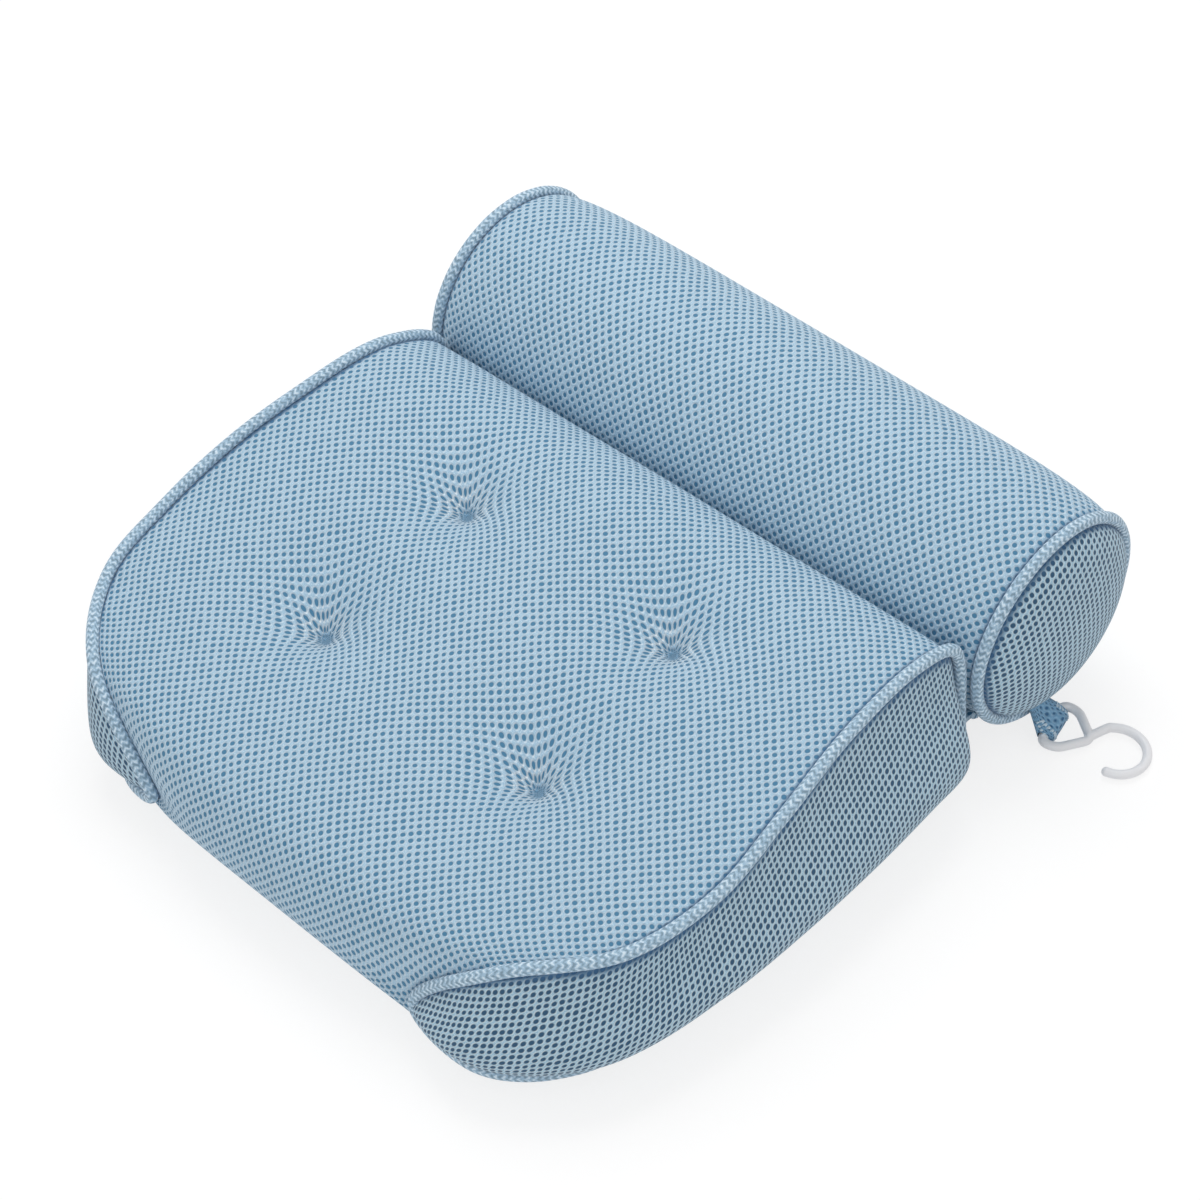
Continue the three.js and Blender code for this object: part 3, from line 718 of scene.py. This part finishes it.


# How far the painted seam shadow reaches in on the wraps, and on the end panels and caps
wrap_shade = 5 * mm
panel_shade = 9 * mm
columns = [-1 + 2 * j / column_count for j in range(column_count + 1)]
cover_grid = wrap_grid(columns, range(row_count))
cover = sewn_grid("cushion_cover", cover_grid, wrap_weave(columns), True, (wrap_shade, wrap_shade))
gather = []
for vertex in cover.data.vertices:
    nearest = min(math.hypot(vertex.co.x - t.x, vertex.co.y - t.y) for t in tuft_places)
    gather.append(math.exp(-nearest / gather_glow) * (vertex.co.z > underside + cushion_height / 4))
    vertex.co = settled(vertex.co)
# The gather attribute closes the holes round each tuft, lightens its threads and paints shade into its pinch.
cover.data.attributes.new("gather", "FLOAT", "POINT").data.foreach_set("value", gather)
make_cloth(cover, "main_core")
finish_piece(cover, "cushion", "air_mesh", cushion_mesh, "main_cover")

# %% [markdown]
# ## End panels
# Each end is a long panel set in between the two legs of its seam. The filling pushes it out, most of all
# below the middle.

# %% End panels of the neck cushion
end_rows = 36
end_bulges = {-1: (10 * mm, 5 * mm, 1 * mm), 1: (32 * mm, 20 * mm, 18 * mm)}
bulge_root = 0.3
seam_puff = 4.5 * mm
puff_reach = 3.5 * mm
bulge_front = 0.7
bulge_skew = 1.7
weave_turn = 36
tip = row_count // 2
back_rows = rows_per_share


def end_point(index, across, bulges, inset=0.0):
    """Bulges are how far the filling pushes the panel out at its back, its middle and its front."""
    top_edge, bottom_edge = ridge(index, inset), ridge(row_count - index, inset)
    point = top_edge.lerp(bottom_edge, across)
    along = max(index - back_rows, 0) / (tip - back_rows)
    at_back, at_middle, at_front = bulges
    ends = (1 - 2 * along) * (at_back * (1 - along) - at_front * along)
    bulge = ends + 4 * along * (1 - along) * at_middle
    lengthways = max(math.sin(math.pi * along), 0) ** (bulge_root + (bulge_front - bulge_root) * along)
    swell = lengthways * math.sin(math.pi * across**bulge_skew)
    from_seam = min(across, 1 - across) * (top_edge - bottom_edge).length
    puff = seam_puff * (1 - math.exp(-from_seam / puff_reach)) * min(lengthways * 2, 1)
    return point + end_normal(point) * (bulge * swell + puff)


def end_grid(bulges, inset=0.0, step=1):
    lines = range(0, tip + 1, step)
    return [[end_point(index, k / end_rows, bulges, inset) for k in range(end_rows + 1)] for index in lines]


def end_weave(grid):
    """Along the panel by its middle line and down it, with the cloth's own direction turned on the panel."""
    cos, sin = math.cos(math.radians(weave_turn)), math.sin(math.radians(weave_turn))
    centre = len(grid[0]) // 2
    weave, u = [], 0.0
    for i, line in enumerate(grid):
        if i:
            u += (line[centre] - grid[i - 1][centre]).length
        reach = reaches(line)
        weave.append([(u * cos - v * sin, u * sin + v * cos) for v in reach - reach[centre]])
    return weave


for side_name, side in (("left", -1), ("right", 1)):
    grid = end_grid(end_bulges[side])
    weave = end_weave(grid)
    placed = [[settled(p, side) for p in line] for line in grid]
    panel = sewn_grid(f"cushion_end_{side_name}", placed, weave, False, (panel_shade, panel_shade))
    make_cloth(panel, "main_core")
    finish_piece(panel, "cushion", "air_mesh", panel_mesh, f"main_end_{side_name}")

# %% [markdown]
# ## Piping
# Piping is a soft cord in a knitted tape, sewn in between two panels. A torus is a ring of round sections
# already, so each section is moved to its place on the seam and turned square to it.


# %% Piping round the cushion's ends and the bolster's ends
piping_sides = 12


def piping_ring(name, path, steps):
    choose_nothing()
    bpy.ops.mesh.primitive_torus_add(
        major_segments=steps,
        minor_segments=piping_sides,
        major_radius=0.1,
        minor_radius=piping_radius,
        generate_uvs=False,
    )
    ring = bpy.context.object
    ring.name = name
    lengths = reaches(path + path[:1])
    centre = sum(path, Vector()) / len(path)
    for i, place in enumerate(path):
        along = (path[(i + 1) % steps] - path[i - 1]).normalized()
        out = place - centre
        out = (out - along * out.dot(along)).normalized()
        side_way = along.cross(out)
        for k in range(piping_sides):
            around = math.tau * k / piping_sides
            swell = 1 + 0.03 * noise.noise(place * 120)
            offset = (out * math.cos(around) + side_way * math.sin(around)) * piping_radius * swell
            ring.data.vertices[i * piping_sides + k].co = place + offset
    layer = ring.data.uv_layers.new(name="weave")
    for face in ring.data.polygons:
        ends = [ring.data.loops[loop].vertex_index for loop in face.loop_indices]
        sections = [v // piping_sides for v in ends]
        places = [v % piping_sides for v in ends]
        for loop, section, place in zip(face.loop_indices, sections, places):
            section += steps if section == 0 and max(sections) > 1 else 0
            place += piping_sides if place == 0 and max(places) > 1 else 0
            layer.data[loop].uv = (lengths[section], math.tau * piping_radius * place / piping_sides)
    face_outwards(ring)
    subdivide(ring)
    smooth(ring, 180)
    return ring


seam_steps = 180
ring_steps = 120
sewn_line = closed_curve([at(*share) for share in seam_shares], seam_steps)[:-1]
for side_name, side in (("left", -1), ("right", 1)):
    seam_path = [settled(point, side) for point in sewn_line]
    main_piping = piping_ring(f"cushion_piping_{side_name}", seam_path, seam_steps)
    finish_piece(main_piping, "cushion", "piping", piping_knit, f"main_piping_{side_name}")
    ring_angles = [math.tau * i / ring_steps for i in range(ring_steps)]
    ring_path = [round_bolster(bolster_x + side * ring_x, ring_radius, angle) for angle in ring_angles]
    end_ring = piping_ring(f"bolster_piping_{side_name}_tape", ring_path, ring_steps)
    finish_piece(end_ring, "bolster", "piping", piping_knit, f"bolster_piping_{side_name}")

# %% [markdown]
# ## The bolster
# The bolster is a stuffed tube, a little fuller than its end rings, with a flat place underneath. Its caps
# bulge like a drum skin.

# %% Bolster cover and caps
bolster_power = 6
cap_bulge = 18 * mm
cap_roundness = 0.46
bolster_rows = 112
bolster_columns = 72
cap_steps = 28
cap_turn = 32


def bolster_ridge(inset=0.0):
    inward = (piping_radius - tuck) * math.sqrt(0.5) + inset
    return ring_x - inward, ring_radius - inward


def bolster_point(angle, column, inset=0.0):
    edge_x, edge_radius = bolster_ridge(inset)
    roll = 1 - math.sqrt(1 - abs(column) ** bolster_power)
    radius = (bolster_radius - inset) * (1 - roll) + edge_radius * roll
    place = round_bolster(bolster_x + edge_x * column, radius, angle)
    place.z = max(place.z, underside + inset)
    return place


def cap_point(angle, inward, side, inset=0.0):
    edge_x, edge_radius = bolster_ridge(inset)
    x = edge_x + cap_bulge * (1 - (1 - inward) ** 2) ** cap_roundness
    return round_bolster(bolster_x + side * x, edge_radius * (1 - inward), angle)


roll_angles = [-math.pi / 2 + math.tau * i / bolster_rows for i in range(bolster_rows + 1)]
roll_columns = [-math.cos(math.pi * j / bolster_columns) for j in range(bolster_columns + 1)]
roll_columns = [0.4 * c + 0.6 * (-1 + 2 * j / bolster_columns) for j, c in enumerate(roll_columns)]
roll_grid = [[bolster_point(a, c) for c in roll_columns] for a in roll_angles[:-1]]
roll_weave = [[(c * ring_x, a * bolster_radius) for c in roll_columns] for a in roll_angles]
roll = sewn_grid("bolster_wrap", roll_grid, roll_weave, True, (wrap_shade, wrap_shade))
make_cloth(roll, "bolster_core", levels=1)
finish_piece(roll, "bolster", "air_mesh", bolster_mesh, "bolster_cover")


def disc_places(angle, line):
    """Flat places of a cap's points: as far from its middle as the cloth reaches, in their own direction."""
    reach = reaches(line)
    turned = angle + math.radians(cap_turn)
    return [(r * math.cos(turned), r * math.sin(turned)) for r in reach[-1] - reach]


for side_name, side in (("left", -1), ("right", 1)):
    disc_grid = [
        [cap_point(a, k / cap_steps, side) for k in range(cap_steps + 1)] for a in roll_angles[:-1]
    ]
    disc_weave = [disc_places(angle, disc_grid[0]) for angle in roll_angles]
    cap = sewn_grid(f"bolster_cap_{side_name}", disc_grid, disc_weave, True, (panel_shade, 0))
    make_cloth(cap, "bolster_core")
    finish_piece(cap, "bolster", "air_mesh", cap_mesh, f"bolster_end_{side_name}")

# %% [markdown]
# ## Filling
# Inside the covers is white fibre. Each filling is the cover's own form, set in a little and in fewer rows.

# %% Fillings
filling_inset = 7 * mm
coarse = 8


def stuffed(name, *sheets):
    """One closed body from sheets that share their edges."""
    body = bmesh.new()
    for sheet_rows, is_closed in sheets:
        verts = [[body.verts.new(p) for p in line] for line in sheet_rows]
        pairs = zip(verts, verts[1:] + (verts[:1] if is_closed else []))
        for first, second in pairs:
            for j in range(len(first) - 1):
                body.faces.new((first[j], second[j], second[j + 1], first[j + 1]))
    bmesh.ops.remove_doubles(body, verts=body.verts, dist=0.05 * mm)
    bmesh.ops.dissolve_degenerate(body, dist=0.02 * mm, edges=body.edges)
    bmesh.ops.recalc_face_normals(body, faces=body.faces)
    mesh = bpy.data.meshes.new(name)
    body.to_mesh(mesh)
    body.free()
    piece = new_object(name, mesh)
    smooth(piece, 60)
    return piece


def all_settled(grid, side=1):
    return [[settled(point, side) for point in line] for line in grid]


core_wrap = wrap_grid(columns[::coarse], range(0, row_count, coarse), filling_inset)
core_ends = [
    (all_settled(end_grid(bulges, filling_inset, coarse), side), False) for side, bulges in end_bulges.items()
]
cushion_filling = stuffed("cushion_filling", (all_settled(core_wrap), True), *core_ends)
finish_piece(cushion_filling, "cushion", "filling", filling_white, "main_core")

core_angles = roll_angles[:-1:4]
core_tube = [[bolster_point(a, c, filling_inset) for c in roll_columns[::4]] for a in core_angles]
core_caps = [
    [[cap_point(a, k / 4, side, filling_inset) for k in range(5)] for a in core_angles] for side in (-1, 1)
]
bolster_filling = stuffed("bolster_filling", (core_tube, True), *[(grid, True) for grid in core_caps])
finish_piece(bolster_filling, "bolster", "filling", filling_white, "bolster_core")

# %% [markdown]
# ## Fabric hinge
# A strip of folded mesh joins the two cushions low down in the valley between them. It is sewn to the
# cushion's back and wraps under the bolster.

# %% Fabric hinge
strip_low, strip_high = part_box("hinge_strip")
strip_half = 1.5 * mm
strip_back = strip_low.y + strip_half
strip_reach = bolster_radius + clearance + strip_half
wrap_degrees = (37, 33, 29)
under = [round_bolster(0, strip_reach, math.radians(-90 - degrees)) for degrees in wrap_degrees]
bend_y = strip_back * 0.65 + under[0].y * 0.35
strip_drops = ((strip_back, 0), (strip_back, 10 * mm), (bend_y, 15.7 * mm))
strip_points = [Vector((0, y, strip_high.z - drop)) for y, drop in strip_drops] + under


def open_curve(points, count):
    """Places along a smooth open curve through points."""
    first, last = points[0] * 2 - points[1], points[-1] * 2 - points[-2]
    padded_points = [first, *points, last]
    places = []
    for i in range(count + 1):
        along = min(i / count * (len(points) - 1), len(points) - 1 - 1e-9)
        k = int(along)
        w = along - k
        a, b, c, d = padded_points[k : k + 4]
        places.append(
            0.5 * (2 * b + (c - a) * w + (2 * a - 5 * b + 4 * c - d) * w**2 + (3 * (b - c) + d - a) * w**3)
        )
    return places


strip_path = open_curve(strip_points, 24)
strip_width = strip_high.x - strip_low.x
strip_columns = 60
strip_grid = [
    [Vector((strip_low.x + strip_width * j / strip_columns, p.y, p.z)) for j in range(strip_columns + 1)]
    for p in strip_path
]
strip_weave = [
    [(strip_width * j / strip_columns, length) for j in range(strip_columns + 1)]
    for length in reaches(strip_path)
]
strip = sewn_grid("fabric_hinge", strip_grid, strip_weave)
apply_modifier(strip, "SOLIDIFY", thickness=2 * strip_half, offset=0)
apply_modifier(strip, "BEVEL", width=0.6 * mm, segments=2)
smooth(strip, 60)
finish_piece(strip, None, "binding", cushion_mesh, "hinge_strip")
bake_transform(strip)

# %% [markdown]
# ## Tuft ties
# Each tie is a thick thread from a knot in the dimple, down through the filling, to a knot underneath.


# %% Tuft ties
def tied_knot(radius, place):
    """Three small loops of thread pulled together."""
    loops = []
    for turn_degrees in (0, 60, 120):
        choose_nothing()
        bpy.ops.mesh.primitive_torus_add(
            major_segments=20,
            minor_segments=8,
            major_radius=radius * 0.62,
            minor_radius=radius * 0.38,
            location=place,
            rotation=(math.radians(62), 0, math.radians(turn_degrees)),
        )
        loops.append(bpy.context.object)
    return loops


def tie(name, x, y, top, bottom):
    thread_radius = 0.9 * mm
    choose_nothing()
    bpy.ops.mesh.primitive_cylinder_add(
        vertices=12, radius=thread_radius, depth=top - bottom, location=(x, y, (top + bottom) / 2)
    )
    parts = [bpy.context.object]
    parts += tied_knot(1.9 * mm, (x, y, top))
    parts += tied_knot(1.6 * mm, (x, y, bottom))
    joined = parts[0]
    join_to(*parts)
    joined.name = name
    apply_modifier(joined, "REMESH", mode="VOXEL", voxel_size=0.25 * mm)
    bpy.ops.object.transform_apply(location=True, rotation=True, scale=True)
    smooth(joined, 180)
    return joined


knot_drop, knot_rise = 6 * mm, 1 * mm
for i in range(4):
    low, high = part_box(f"tuft_tie_{i + 1}")
    x, y = (low.x + high.x) / 2, (low.y + high.y) / 2
    tie_piece = tie(f"tuft_thread_{i + 1}", x, y, high.z - knot_drop, low.z + knot_rise)
    finish_piece(tie_piece, "cushion", "thread", thread_blue, f"tuft_tie_{i + 1}")

# %% [markdown]
# ## Suction cups
# A suction cup is turned: a thin bell, a neck through the cover and a mushroom head above it. One ring of
# edges is extruded and scaled from point to point of the profile. One cup is made, and the rest are copies.


# %% Suction cups and washers
def turned_piece(name, profile_points, sides):
    """Extrudes a ring of edges along (radius, height) points that start and end on the axis."""
    choose_nothing()
    start_radius, start_height = profile_points[0]
    bpy.ops.mesh.primitive_circle_add(
        vertices=sides, radius=start_radius, fill_type="NGON", location=(0, 0, start_height)
    )
    bpy.ops.object.transform_apply(location=True)
    made = bpy.context.object
    made.name = name
    bpy.ops.object.mode_set(mode="EDIT")
    bpy.ops.mesh.select_all(action="SELECT")
    radius, height = start_radius, start_height
    for next_radius, next_height in profile_points[1:]:
        bpy.ops.mesh.extrude_region_move(TRANSFORM_OT_translate={"value": (0, 0, next_height - height)})
        scale = next_radius / radius
        bpy.ops.transform.resize(value=(scale, scale, 1), center_override=(0, 0, next_height))
        radius, height = next_radius, next_height
    bpy.ops.object.mode_set(mode="OBJECT")
    face_outwards(made)
    return made


cup_radius = 22 * mm
shoulder = underside - clearance
cup_profile = [
    (0.4 * mm, 5.6 * mm),
    (8.5 * mm, 5.1 * mm),
    (15.5 * mm, 3.2 * mm),
    (20.4 * mm, 0.3 * mm),
    (21 * mm, 0.0),
    (cup_radius, 0.15 * mm),
    (cup_radius, 1.2 * mm),
    (20.6 * mm, 1.7 * mm),
    (17 * mm, 3.9 * mm),
    (12.5 * mm, 6 * mm),
    (9 * mm, shoulder),
    (5.5 * mm, shoulder),
    (5.5 * mm, 12.9 * mm),
    (8.4 * mm, 13 * mm),
    (8.5 * mm, 14.6 * mm),
    (6.4 * mm, 16.2 * mm),
    (0.4 * mm, 16.6 * mm),
]
cup_bell = turned_piece("suction_bell_1", cup_profile, 48)
choose_nothing()
bpy.ops.mesh.primitive_cylinder_add(
    vertices=32, radius=4 * mm, depth=0.9 * mm, location=(0, -cup_radius - 1 * mm, 0.75 * mm)
)
pull_tongue = bpy.context.object
bpy.ops.object.transform_apply(location=True)
apply_modifier(pull_tongue, "BEVEL", width=0.25 * mm, segments=2)
join_to(cup_bell, pull_tongue)
apply_modifier(cup_bell, "REMESH", mode="VOXEL", voxel_size=0.4 * mm)
apply_modifier(cup_bell, "SMOOTH", factor=0.5, iterations=3)
smooth(cup_bell, 180)
for i in range(6):
    low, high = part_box(f"suction_cup_{i + 1}")
    cup = cup_bell
    shift = Vector(((low.x + high.x) / 2, high.y - cup_radius, 0))
    if i:
        cup = cup_bell.copy()
        cup.data = cup_bell.data.copy()
        cup.name = f"suction_bell_{i + 1}"
        bpy.context.collection.objects.link(cup)
        shift -= first_shift
    else:
        first_shift = shift
    cup.data.transform(Matrix.Translation(shift))
    finish_piece(cup, f"cup_{i + 1}", "clear_vinyl", clear_vinyl, f"suction_cup_{i + 1}")
    washer = nodes[f"cup_washer_{i + 1}"]
    washer.data.materials.clear()
    washer.data.materials.append(white_plastic)

# %% [markdown]
# ## Hook
# The hook is one moulded rod: a triangular eye for the tab, a short shank and an open crook with a round
# nose. The curves are joined and remeshed, so that they run into each other as moulded plastic does.

# %% Hook
swing = joints["hook_swing"]
bar_middle = Vector(swing["pos_m"])
bar_along = -Vector(swing["axis"]).normalized()
rod_radius = 2.3 * mm
nose_radius = 2.35 * mm
shank_start, crook_centre, crook_radius = 17.7 * mm, 33 * mm, 14 * mm
crook_start, crook_end, crook_steps = 138, -93, 40
hook_yaw = math.atan2(-bar_along.x, bar_along.y)
hook_pitch = math.asin((bar_middle.z - rod_radius - clearance) / (crook_centre + crook_radius))
eye_corners = [(0, -13), (8, -13), (20, 0), (8, 13), (0, 13)]
eye_corner_radius = 4


def rod(name, places, closed, radius):
    path = bpy.data.curves.new(name, "CURVE")
    path.dimensions = "3D"
    path.bevel_depth = radius
    path.bevel_resolution = 6
    path.use_fill_caps = True
    line = path.splines.new("POLY")
    line.points.add(len(places) - 1)
    for point, place in zip(line.points, places):
        point.co = (*place, 1)
    line.use_cyclic_u = closed
    choose(new_object(name, path))
    bpy.ops.object.convert(target="MESH")
    return bpy.context.object


def rounded_corners(corners, radius, steps=8):
    places = []
    for i, corner in enumerate(corners):
        before, after = corners[i - 1], corners[(i + 1) % len(corners)]
        into = corner + (before - corner).normalized() * radius
        out = corner + (after - corner).normalized() * radius
        for k in range(steps + 1):
            w = k / steps
            places.append(into * (1 - w) ** 2 + corner * 2 * w * (1 - w) + out * w**2)
    return places


eye_line = rounded_corners([Vector((x * mm, y * mm, 0)) for x, y in eye_corners], eye_corner_radius * mm)
eye = rod("hook_moulding", eye_line, True, rod_radius)
crook_points = [Vector((shank_start, 0, 0))]
for i in range(crook_steps + 1):
    turn = math.radians(crook_start + (crook_end - crook_start) * i / crook_steps)
    arm = Vector((crook_radius * math.cos(turn), crook_radius * math.sin(turn), 0))
    crook_points.append(Vector((crook_centre, 0, 0)) + arm)
crook_path = open_curve(crook_points[::2], 90)
shank = rod("hook_shank", crook_path, False, rod_radius)
choose_nothing()
bpy.ops.mesh.primitive_uv_sphere_add(
    segments=24, ring_count=16, radius=nose_radius, location=crook_path[-1]
)
nose = bpy.context.object
join_to(eye, shank, nose)
apply_modifier(eye, "REMESH", mode="VOXEL", voxel_size=0.35 * mm)
apply_modifier(eye, "SMOOTH", factor=0.5, iterations=4)
hook_turn = Matrix.Rotation(hook_yaw, 4, "Z") @ Matrix.Rotation(hook_pitch, 4, "Y")
eye.data.transform(Matrix.Translation(bar_middle) @ hook_turn)
smooth(eye, 180)
finish_piece(eye, "hook", "white_plastic", white_plastic, "hook")

# %% [markdown]
# ## Hook tab
# The tab is a scrap of mesh, folded round the hook's bar and pinched where it is sewn in. Sections of a soft
# oval grow from the pinch to the bar and close behind it, and a tunnel is cut through for the bar. Its two
# sides are overlocked with a pale zigzag thread.

# %% Hook tab
tab_root_half_width, tab_half_width = 6.8 * mm, 10.2 * mm
tab_root_half_height, tab_half_height = 1.1 * mm, 5.4 * mm
tab_squareness, tab_swell, tab_rounding = 0.6, 1.8, 1.5 * mm
tab_sections, tab_sides = 22, 48
root_middle = Vector((joints["tab_flex"]["pos_m"][0], bar_middle.y - 2.9 * mm))
root_radius = 46.8 * mm
tab_length = (bar_middle.xy - root_middle).length


def tab_point(section, around):
    """A point on the tab: sections run from the pinch, 0, to behind the bar, 1, and around is an angle."""
    reach = section * (tab_length + tab_half_height)
    share = min(reach / tab_length, 1)
    past = max(reach - tab_length, 0)
    round_off = math.sqrt(max(1 - (past / tab_half_height) ** 2, 0))
    widened = (tab_half_width - tab_root_half_width) * math.sin(math.pi / 2 * share)
    half_width = tab_root_half_width + widened - (1 - round_off) * tab_rounding
    puffed = (tab_half_height - tab_root_half_height) * share**tab_swell
    half_height = (tab_root_half_height + puffed) * round_off
    squared = [math.copysign(abs(c) ** tab_squareness, c) for c in (math.cos(around), math.sin(around))]
    wide, high = squared[0] * half_width, squared[1] * half_height
    root_y = root_middle.y + wide
    drop = math.sqrt(max(root_radius**2 - (root_y - bolster_y) ** 2, 0))
    root = Vector((root_middle.x, root_y, bolster_z - drop))
    bar = bar_middle + bar_along * wide
    direction = (bar - root).normalized()
    up = direction.cross(bar_along).normalized()
    up = up if up.z > 0 else -up
    return root.lerp(bar, share) + direction * past + up * high


tab_angles = [math.tau * k / tab_sides for k in range(tab_sides + 1)]
tab_shares = [k / tab_sections for k in range(tab_sections + 1)]
tab_grid = [[tab_point(share, angle) for share in tab_shares] for angle in tab_angles[:-1]]
tab_girth, tab_cloth_length = 7.65 * mm, 15 * mm
tab_weave = [[(angle * tab_girth, share * tab_cloth_length) for share in tab_shares] for angle in tab_angles]
tab = sewn_grid("hanging_tab", tab_grid, tab_weave, closed=True)
face_outwards(tab)
bpy.ops.object.mode_set(mode="EDIT")
bpy.ops.mesh.select_all(action="SELECT")
bpy.ops.mesh.fill_holes(sides=0)
bpy.ops.mesh.normals_make_consistent(inside=False)
bpy.ops.object.mode_set(mode="OBJECT")
choose_nothing()
bpy.ops.mesh.primitive_cylinder_add(
    vertices=32,
    radius=rod_radius + 0.5 * mm,
    depth=4 * tab_half_width,
    location=bar_middle,
    rotation=bar_along.to_track_quat("Z", "Y").to_euler(),
)
tunnel = bpy.context.object
apply_modifier(tab, "BOOLEAN", operation="DIFFERENCE", object=tunnel, solver="EXACT")
bpy.data.objects.remove(tunnel)
smooth(tab, 60)
finish_piece(tab, "tab", "binding", tab_mesh, "hook_tab")

stitch_turns = 18
stitch_start, stitch_run = 0.3, 0.66
overlock_radius = 0.5 * mm
for side_name, low_angle, high_angle in (("near", 172, 120), ("far", 8, 60)):
    stitches = []
    for k in range(stitch_turns + 1):
        around = math.radians(high_angle if k % 2 else low_angle)
        stitches.append(tab_point(stitch_start + stitch_run * k / stitch_turns, around))
    overlock = rod(f"tab_overlock_{side_name}", open_curve(stitches, 150), False, overlock_radius)
    smooth(overlock, 180)
    finish_piece(overlock, "tab", "thread", overlock_thread)
